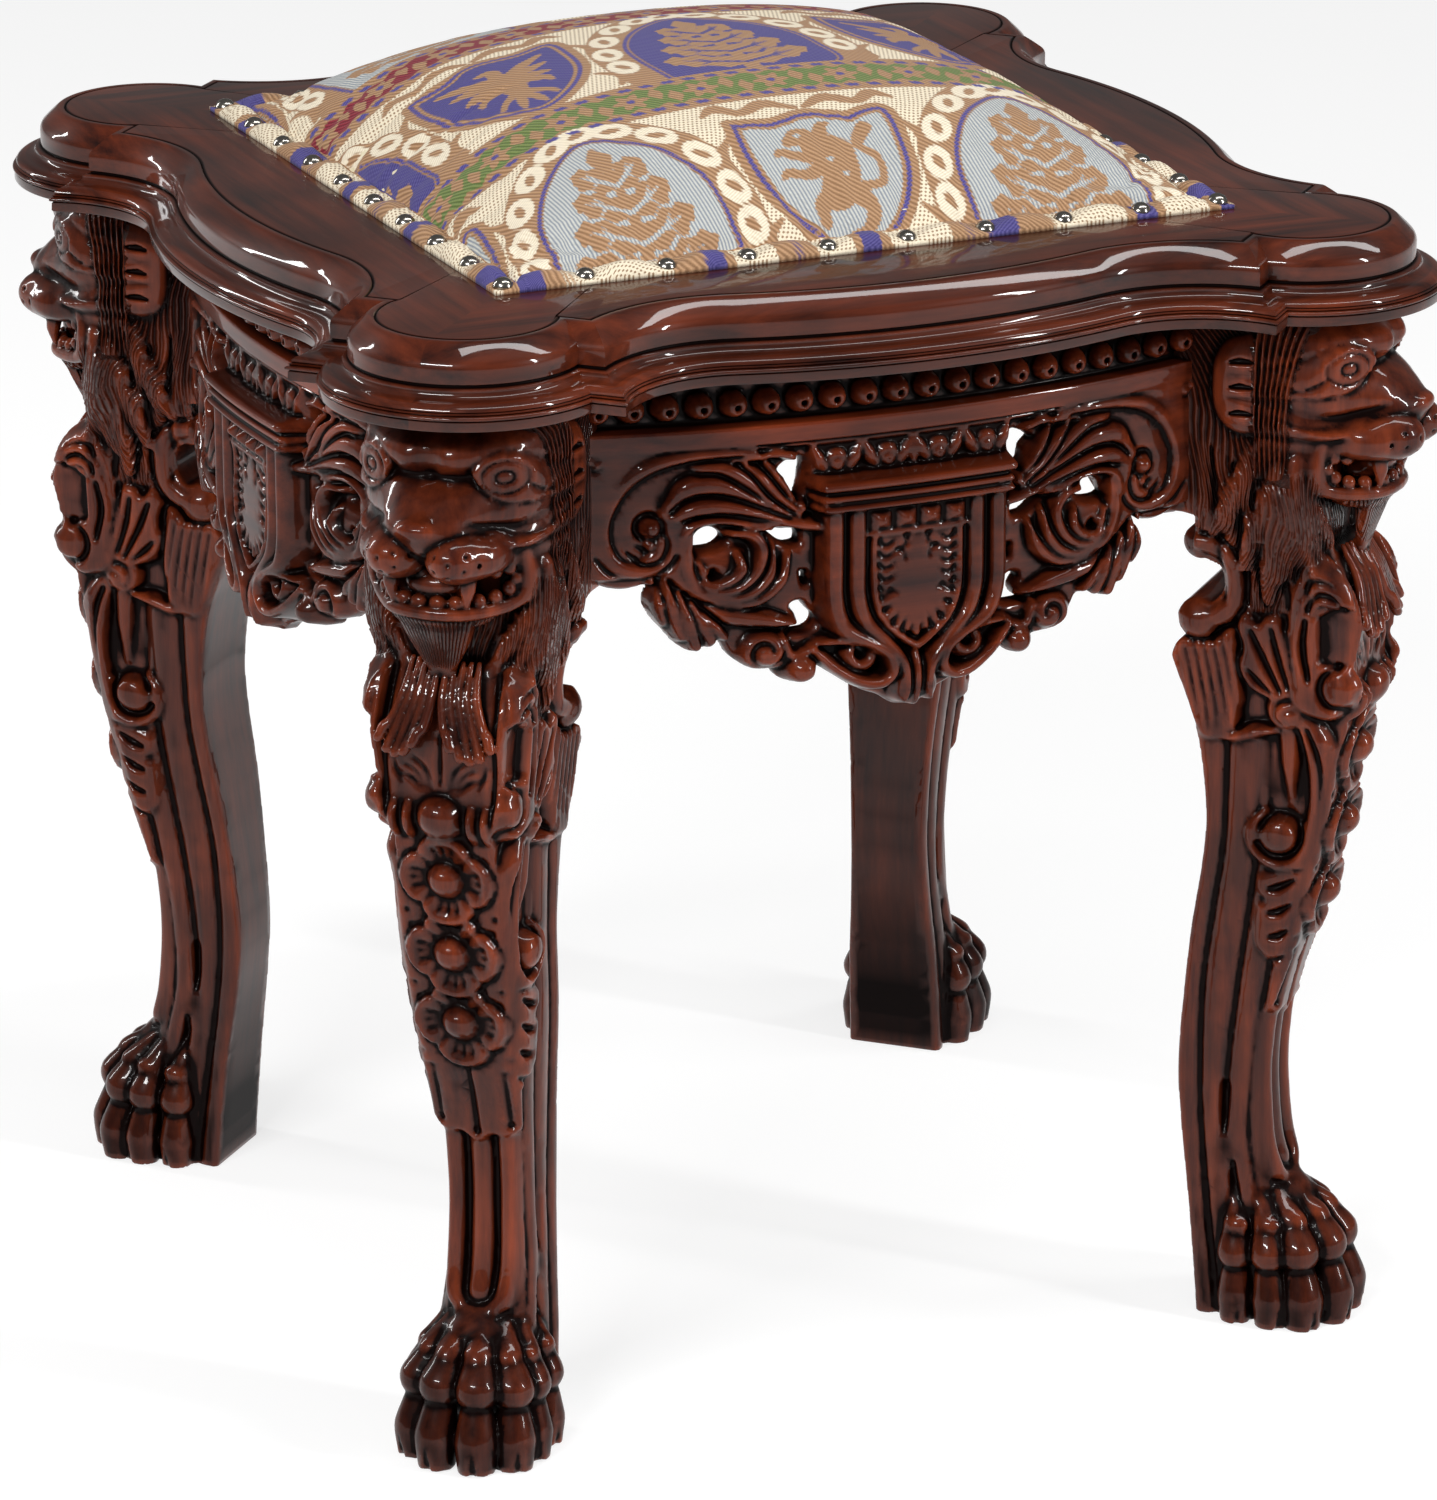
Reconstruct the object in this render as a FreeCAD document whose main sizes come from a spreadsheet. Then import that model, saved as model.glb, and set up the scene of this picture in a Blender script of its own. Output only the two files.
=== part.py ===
import FreeCAD, Part
import math
import os

# A carved stool: four legs set on the diagonals, each a lion head over a paw,
# four bowed and pierced aprons, a mitred moulded top and a nailed tapestry seat.
# The origin is on the floor under the middle of the seat, +Z is up and -Y is the front.
# Round stretches are cut into a few flats by formula, as a carver roughs them out.

SIZES = {
    # moulded top: the plan outline is measured at its upper edge
    "seat_height": "450",
    "side_reach": "199",
    "bow_radius": "255",
    "hollow_radius": "65",
    "hollow_place": "92",
    "lobe_place": "172",
    "lobe_radius": "36.5",
    "facet_setback": "6.7",
    "ovolo_out": "7.2",
    "ovolo_drop": "14.8",
    "cove_out": "11",
    "cove_drop": "5.6",
    "bead_out": "1.5",
    "bead_drop": "2",
    "band_drop": "6.6",
    "opening_half": "102",
    "tongue_place": "215",
    "tongue_length": "56",
    "tongue_width": "22",
    "tongue_thickness": "6",
    # seat
    "panel_half": "140",
    "panel_thickness": "12",
    "pad_margin": "2",
    "pad_crown": "44",
    "pad_corner": "26",
    "cover_thickness": "1.6",
    "hem_margin": "13",
    "nail_inset": "5",
    "nail_head": "7.4",
    "nail_dome": "3",
    "nail_shank": "1.4",
    "nail_length": "11",
    "nails_per_side": "9",
    # aprons: reach is from the middle of the stool to the ends of the carved face
    "apron_reach": "174",
    "apron_bow": "18",
    "apron_thickness": "22",
    "apron_depth": "138",
    "ground_depth": "4",
    "pearl_diameter": "10",
    "pearl_drop": "14",
    "pearls": "20",
    "channel_height": "23",
    "channel_depth": "5",
    "band_height": "7",
    "shield_width": "75",
    "shield_proud": "7",
    "tenon_length": "13",
    "tenon_thickness": "9",
    "tenon_height": "48",
    # legs: distances are along the outward diagonal
    "post_inner": "180",
    "post_half": "34.6",
    "post_height": "84",
    "neck_front": "260",
    "head_root": "225",
    "face_reach": "302",
    "paw_reach": "275",
    "toe_width": "14",
    "rosette_radius": "18",
    # fixings
    "block_length": "30",
    "block_half": "31",
    "block_height": "40",
    "screw_shank": "4.4",
    "screw_head": "9",
    "screw_grip": "14",
    "fit": "0.15",
}

doc = FreeCAD.newDocument("carved_stool")
sheet = doc.addObject("Spreadsheet::Sheet", "sizes")
for row, (alias, value) in enumerate(SIZES.items(), start=1):
    sheet.set(f"A{row}", alias)
    sheet.set(f"B{row}", value)
    sheet.setAlias(f"B{row}", alias)
doc.recompute()

UP = FreeCAD.Vector(0, 0, 1)
SIDES = {"front": 0, "right": 90, "back": 180, "left": 270}
CORNERS = {"front_left": 225, "front_right": 315, "back_right": 45, "back_left": 135}
DIAGONAL = math.sqrt(0.5)
FLAT = 1e-6

parts = []


def size(alias):
    return float(sheet.get(alias))


def vec(x, y, z=0.0):
    return FreeCAD.Vector(x, y, z)


def turned(angle, placement=FreeCAD.Placement()):
    """A placement turned about the stool's upright axis."""
    return FreeCAD.Placement(vec(0, 0), FreeCAD.Rotation(UP, angle)).multiply(placement)


def at(x, y, z):
    return FreeCAD.Placement(vec(x, y, z), FreeCAD.Rotation())


def feature(name, shape):
    obj = doc.addObject("Part::Feature", name)
    obj.Shape = shape
    return obj


def box(name, length, width, height):
    """A box whose three sides follow expressions on the sheet."""
    obj = doc.addObject("Part::Box", name)
    obj.setExpression("Length", length)
    obj.setExpression("Width", width)
    obj.setExpression("Height", height)
    return obj


def fuse(name, objects):
    obj = doc.addObject("Part::MultiFuse", name)
    obj.Shapes = objects
    return obj


def cut(name, base, tool):
    obj = doc.addObject("Part::Cut", name)
    obj.Base = base
    obj.Tool = tool
    return obj


def group(name, objects):
    obj = doc.addObject("Part::Compound", name)
    obj.Links = objects
    return obj


def part(obj, label):
    obj.Label = label
    parts.append(obj)


def polygon(points):
    return Part.Face(Part.makePolygon(points + points[:1]))


def flats(corners):
    """One face over four corners where they lie in a plane, otherwise two triangles."""
    a, b, c, d = corners
    normal = (c - a).cross(d - b)
    if abs((b - a).dot(normal)) < FLAT * normal.Length:
        return [polygon(corners)]
    return [polygon([a, b, c]), polygon([a, c, d])]


def stack(rings):
    """A solid between rings of points, with flat sides and the first and last ring as its ends."""
    faces = [polygon(rings[0]), polygon(rings[-1])]
    for low, high in zip(rings, rings[1:]):
        for i in range(len(low)):
            faces += flats([low[i - 1], low[i], high[i], high[i - 1]])
    shell = Part.makeShell(faces)
    shell.sewShape()
    solid = Part.makeSolid(shell)
    if solid.Volume < 0:
        solid.reverse()
    return solid


def round_ring(radius, z, count=6):
    step = 2 * math.pi / count
    return [vec(radius * math.cos(step * i), radius * math.sin(step * i), z) for i in range(count)]


def arc_points(start, through, end, count):
    """Points along the arc through three points, both ends included."""
    return Part.Arc(start, through, end).toShape().discretize(count + 1)


def facing(shape, place, direction):
    """A shape drawn up +Z, set at a place to face along a direction."""
    shape.Placement = FreeCAD.Placement(place, FreeCAD.Rotation(UP, direction))
    return shape


# Moulded top: four rails, mitred on the diagonals, with loose tongues across the mitres

TOP_Z = size("seat_height")
MOULDING = {name: (size(f"{name}_out"), size(f"{name}_drop")) for name in ("ovolo", "cove", "bead")}
FRAME_Z = TOP_Z - sum(drop for out, drop in MOULDING.values()) - size("band_drop")
BOW_STEPS = 3
HOLLOW_STEPS = 3
LOBE_STEPS = 4


def moulding_levels():
    """Projection and height down the edge: quarter round, cove, bead and plain band."""
    levels = [(0.0, TOP_Z)]
    width, drop = MOULDING["ovolo"]
    for angle in (45, 90):
        a = math.radians(angle)
        levels.append((width * math.sin(a), TOP_Z - drop * (1 - math.cos(a))))
    out, z = levels[-1]
    width, drop = MOULDING["cove"]
    for angle in (55, 90):
        a = math.radians(angle)
        levels.append((out + width * (1 - math.cos(a)), z - drop * math.sin(a)))
    out, z = levels[-1]
    width, drop = MOULDING["bead"]
    levels.append((out + width, z - drop / 4))
    levels.append((out + width, z - drop * 3 / 4))
    levels.append((out + width / 2, z - drop))
    levels.append((out + width / 2, FRAME_Z))
    return levels


def sweep(mid, start, end, steps):
    """Points along the shorter arc about a middle point, without its first point."""
    first = math.atan2(start[1] - mid[1], start[0] - mid[0])
    last = math.atan2(end[1] - mid[1], end[0] - mid[0])
    radius = math.hypot(end[0] - mid[0], end[1] - mid[1])
    angles = [first + (last - first) * (i + 1) / steps for i in range(steps)]
    return [(mid[0] + radius * math.cos(a), mid[1] + radius * math.sin(a)) for a in angles]


def side_ring(out, z):
    """One side of the top cut level: bow, hollow, facet and half lobe, and their mirror images."""
    bow = size("bow_radius")
    hollow = size("hollow_radius")
    lobe = size("lobe_place")
    place = size("hollow_place")
    bow_mid = (0, size("side_reach") - bow)
    hollow_mid = (place, bow_mid[1] + math.sqrt((bow + hollow) ** 2 - place ** 2))
    lobe_mid = (lobe, lobe)
    facet = 2 * lobe * DIAGONAL - size("facet_setback") + out

    def on_facet(mid, radius, side):
        """Where the facet's line meets a circle, towards the bow (-1) or the lobe (1)."""
        reach = facet - (mid[0] + mid[1]) * DIAGONAL
        along = side * math.sqrt(radius ** 2 - reach ** 2)
        return mid[0] + (reach + along) * DIAGONAL, mid[1] + (reach - along) * DIAGONAL

    crown = (0, size("side_reach") + out)
    share = (bow + out) / (bow + hollow)
    bend = (place * share, bow_mid[1] + (hollow_mid[1] - bow_mid[1]) * share)
    hollow_end = on_facet(hollow_mid, hollow - out, 1)
    lobe_start = on_facet(lobe_mid, size("lobe_radius") + out, -1)
    tip = lobe + (size("lobe_radius") + out) * DIAGONAL
    half = sweep(bow_mid, crown, bend, BOW_STEPS)
    half += sweep(hollow_mid, bend, hollow_end, HOLLOW_STEPS)
    half.append(lobe_start)
    half += sweep(lobe_mid, lobe_start, (tip, tip), LOBE_STEPS)
    inner = size("opening_half")
    mirrored = [(-s, o) for s, o in reversed(half)]
    outline = mirrored + [crown] + half + [(inner, inner), (-inner, inner)]
    return [vec(s, -o, z) for s, o in outline]


def tongue(name, angle, clearance):
    """A loose tongue across one mitre, or with a clearance the slot that takes it."""
    room = f"+ 2 * {clearance}"
    sides = [f"sizes.tongue_{side} {room}" for side in ("length", "width", "thickness")]
    obj = box(name, *sides)
    obj.Placement = turned(angle, at(
        size("tongue_place") - size("tongue_length") / 2 - clearance,
        -size("tongue_width") / 2 - clearance,
        FRAME_Z + size("band_drop") + size("bead_drop") - clearance,
    ))
    return obj


HEM_HALF = size("panel_half") + size("hem_margin")
NAIL_PLACE = HEM_HALF - size("nail_inset")
HEM_TOP = TOP_Z + size("cover_thickness")
NAIL_FOOT = HEM_TOP - size("nail_length")


def nail_places():
    """Nails evenly round the hem, one of them on each corner."""
    count = int(size("nails_per_side"))
    pitch = 2 * NAIL_PLACE / count
    row = [vec(-NAIL_PLACE + pitch * i, -NAIL_PLACE) for i in range(count)]
    return [turned(angle).multVec(place) for angle in SIDES.values() for place in row]


def pins(half, high):
    """Square pins at the nail places, from the nails' points up to a height."""
    height = high - NAIL_FOOT
    corner = vec(-half, -half, NAIL_FOOT)
    return [Part.makeBox(2 * half, 2 * half, height, place + corner) for place in nail_places()]


nail_holes = feature("nail_holes", Part.makeCompound(pins(size("nail_shank") / 2 + size("fit"), HEM_TOP)))
PANEL_ROOM = size("panel_half") + size("fit")
rebate_side = "2 * (sizes.panel_half + sizes.fit)"
rebate = box("rebate", rebate_side, rebate_side, "sizes.panel_thickness")
rebate.Placement = at(-PANEL_ROOM, -PANEL_ROOM, TOP_Z - size("panel_thickness"))

# Fixings: a block in each corner behind the leg, screwed to the leg and up into two rails

BLOCK_INNER = size("post_inner") - size("block_length")
BLOCK_Z = FRAME_Z - size("block_height")
SIDE_SPREAD = size("block_half") * 0.3
TOP_SPREAD = size("block_half") * 0.7


def screw(length, clearance):
    """A countersunk screw pointing up +Z, with the flat of its head at the origin."""
    shank = size("screw_shank") / 2 + clearance
    head = size("screw_head") / 2 + clearance
    tip = length + clearance
    return stack([round_ring(head, 0), round_ring(shank, head - shank), round_ring(shank, tip)])


def side_screws(clearance):
    """The two screws of one corner, along +X, that go outward into the leg."""
    length = size("block_length") + size("screw_grip")
    z = BLOCK_Z + size("block_height") / 2
    places = [vec(BLOCK_INNER, y, z) for y in (-SIDE_SPREAD, SIDE_SPREAD)]
    return [facing(screw(length, clearance), place, vec(1, 0)) for place in places]


def top_screws(clearance):
    """The two screws of one corner, along +X, that go up into the rails."""
    length = size("block_height") + size("screw_grip")
    x = BLOCK_INNER + size("block_length") / 2
    places = [vec(x, y, BLOCK_Z) for y in (-TOP_SPREAD, TOP_SPREAD)]
    return [facing(screw(length, clearance), place, UP) for place in places]


def round_the_corners(shapes):
    """Copies of one corner's shapes in all four corners."""
    copies = []
    for angle in CORNERS.values():
        for shape in shapes:
            copies.append(shape.copy())
            copies[-1].rotate(vec(0, 0), UP, angle)
    return copies


fit = size("fit")
block_holes = feature("block_holes", Part.makeCompound(side_screws(fit) + top_screws(fit)))
for corner, corner_angle in CORNERS.items():
    blank = box(f"block_blank_{corner}", "sizes.block_length", "2 * sizes.block_half", "sizes.block_height")
    blank.Placement = at(BLOCK_INNER, -size("block_half"), BLOCK_Z)
    block = cut(f"corner_block_{corner}", blank, block_holes)
    block.Placement = turned(corner_angle)
    part(block, block.Name)
part(feature("block_screws", Part.makeCompound(round_the_corners(side_screws(0)))), "block_screws")
part(feature("top_screws", Part.makeCompound(round_the_corners(top_screws(0)))), "top_screws")

top_holes = feature("top_holes", Part.makeCompound(round_the_corners(top_screws(fit))))
slots = [tongue(f"slot_{corner}", angle, fit) for corner, angle in CORNERS.items()]
rail_cuts = group("rail_cuts", [rebate, nail_holes, top_holes] + slots)
rail_shape = stack([side_ring(out, z) for out, z in moulding_levels()])
for side, side_angle in SIDES.items():
    moulded = feature(f"moulded_{side}", rail_shape)
    moulded.Placement = turned(side_angle)
    part(cut(f"top_rail_{side}", moulded, rail_cuts), f"top_rail_{side}")
tongues = [tongue(f"tongue_{corner}", angle, 0) for corner, angle in CORNERS.items()]
part(group("mitre_tongues", tongues), "mitre_tongues")

# Seat: a board let into the top, a foam pad on it and a nailed cover

panel = box("seat_panel", "2 * sizes.panel_half", "2 * sizes.panel_half", "sizes.panel_thickness")
panel.Placement = at(-size("panel_half"), -size("panel_half"), TOP_Z - size("panel_thickness"))
part(panel, "seat_panel")


def clipped_square(half, corner, z):
    """A square ring with its corners clipped, made from one corner turned four times."""
    pair = [vec(half, half - corner, z), vec(half - corner, half, z)]
    return [turned(angle).multVec(point) for angle in SIDES.values() for point in pair]


CROWN_LEVELS = (0, 0.35, 0.62, 0.82, 0.94, 1)
CROWN_FLAT = 0.14
CROWN_SWELL = 1.6
CROWN_SLOPE = 0.46


def crowned(half, crown):
    """A crowned cushion: flat under, rising from its edge in a smooth dome that ends in a small flat."""
    rings = []
    for share in CROWN_LEVELS:
        narrow = CROWN_FLAT + (1 - CROWN_FLAT) * (1 - share ** CROWN_SWELL) ** CROWN_SLOPE
        rings.append(clipped_square(half * narrow, size("pad_corner") * narrow, TOP_Z + crown * share))
    return stack(rings)


SLACK = 2 * fit
PAD_HALF = size("panel_half") + size("pad_margin")
part(feature("seat_pad", crowned(PAD_HALF, size("pad_crown"))), "seat_pad")
lining = feature("cover_lining", crowned(PAD_HALF + SLACK, size("pad_crown") + SLACK))
skin = SLACK + size("cover_thickness")
cover = feature("cover_face", crowned(PAD_HALF + skin, size("pad_crown") + skin))
hem_rings = [clipped_square(HEM_HALF, size("nail_inset"), z) for z in (TOP_Z, HEM_TOP)]
cover_skin = fuse("cover_skin", [cover, feature("hem", stack(hem_rings))])
part(cut("seat_cover", cover_skin, group("cover_cuts", [lining, nail_holes])), "seat_cover")


def nails():
    """Domed heads on the hem, each with a square shank driven into the rails."""
    radius = size("nail_head") / 2
    dome = size("nail_dome")
    solids = []
    for place, shank in zip(nail_places(), pins(size("nail_shank") / 2, HEM_TOP + dome / 3)):
        head = stack([round_ring(radius, HEM_TOP), round_ring(radius / 2, HEM_TOP + dome)])
        head.translate(place)
        solids.append(head.fuse(shank))
    return Part.makeCompound(solids)


part(feature("seat_nails", nails()), "seat_nails")

# Aprons: bowed boards with a pierced scroll edge, a row of pearls and a shield.
# A board is drawn at the front and turned to its side. The carver's pattern is drawn
# from the middle of the board and down from its top, for a board of the sizes below.

APRON_HALF = size("apron_reach") - size("post_half") / DIAGONAL
APRON_FOOT = FRAME_Z - size("apron_depth")
PATTERN_HALF = 125.0
PATTERN_DEPTH = 138.0
BOW_FLATS = 6
LOWER_EDGE = [
    # end scroll, leaf, leaf tip, small spiral, ball and volute: start, middle and end of each arc
    ((130, 78), (113, 85), (100, 79)),
    ((100, 79), (101, 101), (88, 110)),
    ((88, 110), (82, 111), (75, 107)),
    ((75, 107), (67, 117), (53, 120)),
    ((53, 120), (45, 128), (38, 123)),
    ((38, 123), (24, 128), (9, 136)),
]
DROP_TIP = ((9, 136), (0, 138), (-9, 136))
PIERCINGS = [
    [(72, 70), (77, 63), (85, 64), (80, 69)],
    [(44, 71), (50, 65), (58, 66), (52, 70)],
    [(42, 52), (46, 39), (53, 41), (49, 52)],
    [(37, 104), (43, 95), (50, 99), (44, 106)],
]
ROUNDS = [
    # place across and down, radius and rise of the rolled scroll ends
    (102, 59, 9, 2),
    (70, 72, 12, 2),
    (57, 113, 7.5, 2),
    (45, 121, 6, 3),
    (22, 114, 10, 6),
]
SHIELD = (43, 92, 126)
SHIELD_FIELD = (63, 90, 108)
SHIELD_BAR = (42, 52)
SHIELD_DROP = (108, 118, 138)
DROP_HALF = 13


def carve(x, z):
    return vec(x * APRON_HALF / PATTERN_HALF, 0, FRAME_Z - z * size("apron_depth") / PATTERN_DEPTH)


def bow_points(proud):
    """Places along the bow of the carved face, moved outward by proud, from post to post."""
    bow = size("apron_bow")
    radius = (APRON_HALF ** 2 + bow ** 2) / (2 * bow)
    middle = radius - size("apron_reach") - bow
    radius += proud
    end = math.acos((size("post_half") / DIAGONAL + middle) * DIAGONAL / radius) - math.pi / 4
    angles = [end * (2 * i / BOW_FLATS - 1) for i in range(BOW_FLATS + 1)]
    return [(radius * math.sin(a), middle - radius * math.cos(a)) for a in angles]


def bowed(front, back, low, high):
    """A bowed layer of the board between two faces and two heights, its ends on the leg posts."""
    outline = bow_points(front) + bow_points(back)[::-1]
    return stack([[vec(x, y, z) for x, y in outline] for z in (low, high)])


def through(points):
    """A drawn outline, cut right through the thickness of the board."""
    return polygon(points).extrude(vec(0, -2 * (size("apron_reach") + size("apron_bow")), 0))


def drawn_arc(stretch, sign, count):
    return arc_points(*[carve(sign * x, z) for x, z in stretch], count)


def board_outline():
    """The whole board seen from the front, with its scrolled lower edge."""
    right = []
    for stretch in LOWER_EDGE:
        right += drawn_arc(stretch, 1, 2)[:-1]
    left = [vec(-p.x, p.y, p.z) for p in reversed(right)]
    end = right[0].x
    top = [vec(end, 0, FRAME_Z), vec(-end, 0, FRAME_Z)]
    return top[:1] + right + drawn_arc(DROP_TIP, 1, 2) + left + top[1:]


def hole(points, sign):
    """A pierced hole: a closed smooth line through a few points."""
    spline = Part.BSplineCurve()
    spline.interpolate(Points=[carve(sign * x, z) for x, z in points], PeriodicFlag=True)
    return through(spline.toShape().discretize(7)[:-1])


def shield(half, top, shoulder, point):
    """A shield: straight sides, then two curves that meet in a point."""
    side = drawn_arc(((half, shoulder), (half * 0.62, (shoulder + point) / 2), (0, point)), 1, 3)
    right = [carve(half, top)] + side
    left = [vec(-p.x, p.y, p.z) for p in reversed(right[:-1])]
    return through(right + left)


def pearl_row():
    """Pearls as six-sided domes, square to the bow, on the floor of the channel."""
    count = int(size("pearls"))
    radius = size("pearl_diameter") / 2
    floor = -size("channel_depth")
    bow = [vec(x, y) for x, y in bow_points(0)]
    curve = Part.Arc(bow[0], bow[BOW_FLATS // 2], bow[-1]).toShape()
    pearls = []
    for i in range(count):
        first, last = curve.ParameterRange
        place = curve.valueAt(first + (last - first) * (i + 0.5) / count)
        outward = (place - curve.Curve.Center).normalize()
        dome = stack([round_ring(radius, floor - 1), round_ring(radius / 2, floor + radius)])
        pearls.append(facing(dome, place + vec(0, 0, FRAME_Z - size("pearl_drop")), outward))
    return pearls


def tenons(clearance):
    """A tenon at each end of the front board, right then left, along the board and into the post."""
    half = size("tenon_thickness") / 2 + clearance
    height = size("tenon_height") + 2 * clearance
    low = FRAME_Z - size("channel_height") - size("tenon_height") - clearance
    y = -(size("apron_reach") - size("apron_thickness") / 2)
    shoulder = -y - size("post_half") / DIAGONAL
    length = 3 * size("tenon_thickness") + size("tenon_length") + clearance
    start = shoulder + size("tenon_length") + clearance - length
    return [
        Part.makeBox(length, 2 * half, height, vec(start, y - half, low)),
        Part.makeBox(length, 2 * half, height, vec(-start - length, y - half, low)),
    ]


def apron_shape():
    proud = size("shield_proud")
    back = -size("apron_thickness")
    ground = -size("ground_depth")
    band_top = FRAME_Z - size("channel_height")
    band_foot = band_top - size("band_height")
    half = size("shield_width") / 2
    solids = [
        bowed(ground, back, APRON_FOOT, band_foot).common(through(board_outline())),
        bowed(0, back, band_foot, band_top),
        bowed(-size("channel_depth"), back, band_top, FRAME_Z),
        bowed(proud, back, APRON_FOOT, band_foot).common(shield(half, *SHIELD)),
        bowed(proud / 2, back, APRON_FOOT, band_foot).common(shield(DROP_HALF, *SHIELD_DROP)),
    ]
    bar_top, bar_foot = (carve(0, z).z for z in SHIELD_BAR)
    bar_corners = [(-half, bar_foot), (half, bar_foot), (half, bar_top), (-half, bar_top)]
    bar_ends = through([vec(x, 0, z) for x, z in bar_corners])
    solids.append(bowed(proud + 2, back, bar_foot, bar_top).common(bar_ends))
    for sign in (1, -1):
        for x, z, radius, rise in ROUNDS:
            centre = carve(sign * x, z)
            disc = through([centre + vec(p.x, 0, p.y) for p in round_ring(radius, 0)])
            solids.append(bowed(ground + rise, back, APRON_FOOT, band_foot).common(disc))
    solids += pearl_row() + tenons(0)
    board = solids[0].multiFuse(solids[1:])
    holes = [hole(points, sign) for points in PIERCINGS for sign in (1, -1)]
    holes.append(bowed(proud + 1, proud - 3, APRON_FOOT, band_foot).common(shield(half / 2, *SHIELD_FIELD)))
    return board.cut(holes).removeSplitter()


apron = apron_shape()
for side, side_angle in SIDES.items():
    obj = feature(f"apron_{side}", apron)
    obj.Placement = turned(side_angle)
    part(obj, f"apron_{side}")

# Legs: a swept shaft, a paw, a carved knee and a lion head in front of the post.
# A leg is drawn along +X, outward from the middle of the stool, then turned to its corner.
# The carver's pattern is drawn for a leg of the height below.

PATTERN_HEIGHT = 421.0
SHAFT = [
    # height, back face, front face, half width, half width of the front
    (0, 218, 258, 21.5, 18),
    (40, 213, 255, 20.5, 17),
    (66, 209, 246, 18.5, 14),
    (100, 205.5, 243, 17.5, 13),
    (138, 207, 248, 18.5, 15),
    (180, 214, 261, 21.5, 18),
    (212, 216, 269, 23, 19),
    (245, 212, 275, 24, 20),
    (282, 204, 278, 25, 20),
]
SHAFT_LEVELS = 9
NECK = (305, 204, 274, 28, 18)
DRAPE = (138, 160, 185, 210, 235, 262)
ROSETTES = (178, 208, 239)
COLLAR = (262, 280)
COLLAR_HALF = 26
COLLAR_DEPTH = 22
COLLAR_RISE = 4
BOSS = [(-4, 12), (10, 7)]
FLOWER = [(-6, 0.7), (4, 1)]
FLOWER_BOSS = [(2, 0.4), (10, 0.22)]
VOLUTES = [
    # distance, height, radius and half length of the rolled scroll ends on the flanks
    (272, 268, 10.5, 27),
    (260, 308, 13, 30),
    (246, 206, 12, 25),
    (249, 258, 9, 27),
]
NOTCH = (203, 306, 14, 60)
HEAD = [
    # share of the way from the mane to the nose, half width, low, high and clipped corner
    (0, 37, 358, 414, 14),
    (0.32, 39, 354, 418, 14),
    (0.53, 36, 354, 417, 14),
    (0.72, 29, 357, 404, 12),
    (0.9, 24, 360, 388, 9),
    (1, 17, 364, 380, 7),
]
JAW = [
    (0.26, 26, 338, 357, 6),
    (0.71, 22, 339, 352, 5),
    (0.85, 14, 341, 349, 3),
]
BEARD = [(319, 1.5), (343, 9)]
BEARD_BACK = 25
EAR = (386, 25, 9)
EAR_PROUD = 6
TOES = [
    # how far behind the tip of the paw, how far across, and the way it points
    (33, 12, 85),
    (16, 10, 45),
    (11, 7.5, 6),
]
KNUCKLES = [(11, 12, 0), (31, 12, -1)]


def level(z):
    return z * FRAME_Z / PATTERN_HEIGHT


def shaft_rows():
    """The shaft's sections at even heights, each of its sides a spline over the height."""
    columns = list(zip(*SHAFT))
    sides = []
    for column in columns[1:]:
        spline = Part.BSplineCurve()
        spline.interpolate([vec(z, reach) for z, reach in zip(columns[0], column)])
        sides.append(spline)
    rows = []
    for i in range(SHAFT_LEVELS + 1):
        z = columns[0][-1] * i / SHAFT_LEVELS
        upright = Part.LineSegment(vec(z, -1), vec(z, size("face_reach")))
        rows.append((level(z), *[spline.intersect(upright)[0].Y for spline in sides]))
    return rows


ROWS = shaft_rows()


def front_at(z):
    """Front face and its half width at a height, between two rows of the shaft."""
    for low, high in zip(ROWS, ROWS[1:]):
        if z <= high[0]:
            share = (z - low[0]) / (high[0] - low[0])
            return [low[i] + (high[i] - low[i]) * share for i in (2, 4)]
    return ROWS[-1][2], ROWS[-1][4]


def shaft_ring(z, back, front, half, face):
    shoulder = back + (front - back) * 0.78
    right = [vec(back, half, z), vec(shoulder, half, z), vec(front, face, z)]
    return right + [vec(p.x, -p.y, z) for p in reversed(right)]


def head_ring(share, half, low, high, clip):
    """An eight-sided slice of the head, upright across the diagonal."""
    d = size("head_root") + (size("face_reach") - size("head_root")) * share
    low = level(low)
    high = level(high)
    corners = [(half - clip, low), (half, low + clip), (half, high - clip), (half - clip, high)]
    return [vec(d, y, z) for y, z in corners] + [vec(d, -y, z) for y, z in reversed(corners)]


def bar(place, along, radius, length, sides):
    """A many-sided bar with its middle at a place."""
    solid = stack([round_ring(radius, end, sides) for end in (-length / 2, length / 2)])
    return facing(solid, place, along)


def across(d, z, radius, half):
    return bar(vec(d, 0, level(z)), vec(0, 1), level(radius), 2 * half, 6)


def star(radius, z):
    """A five-petalled outline, with one point to a petal and one notch between petals."""
    points = []
    for i in range(10):
        reach = radius * (0.75, 1)[i % 2]
        a = math.radians(36 * i)
        points.append(vec(reach * math.cos(a), reach * math.sin(a), z))
    return points


def rosettes():
    """Three flowers with round bosses down the knee, square to its front."""
    radius = level(size("rosette_radius"))
    rise = 4
    solids = []
    for height in ROSETTES:
        z = level(height)
        slope = (front_at(z + rise)[0] - front_at(z - rise)[0]) / (2 * rise)
        place = vec(front_at(z)[0] + 3, 0, z)
        flower = stack([star(radius * share, depth) for depth, share in FLOWER])
        boss = stack([round_ring(radius * share, depth) for depth, share in FLOWER_BOSS])
        solids += [facing(shape, place, vec(1, 0, -slope)) for shape in (flower, boss)]
    return solids


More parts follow.
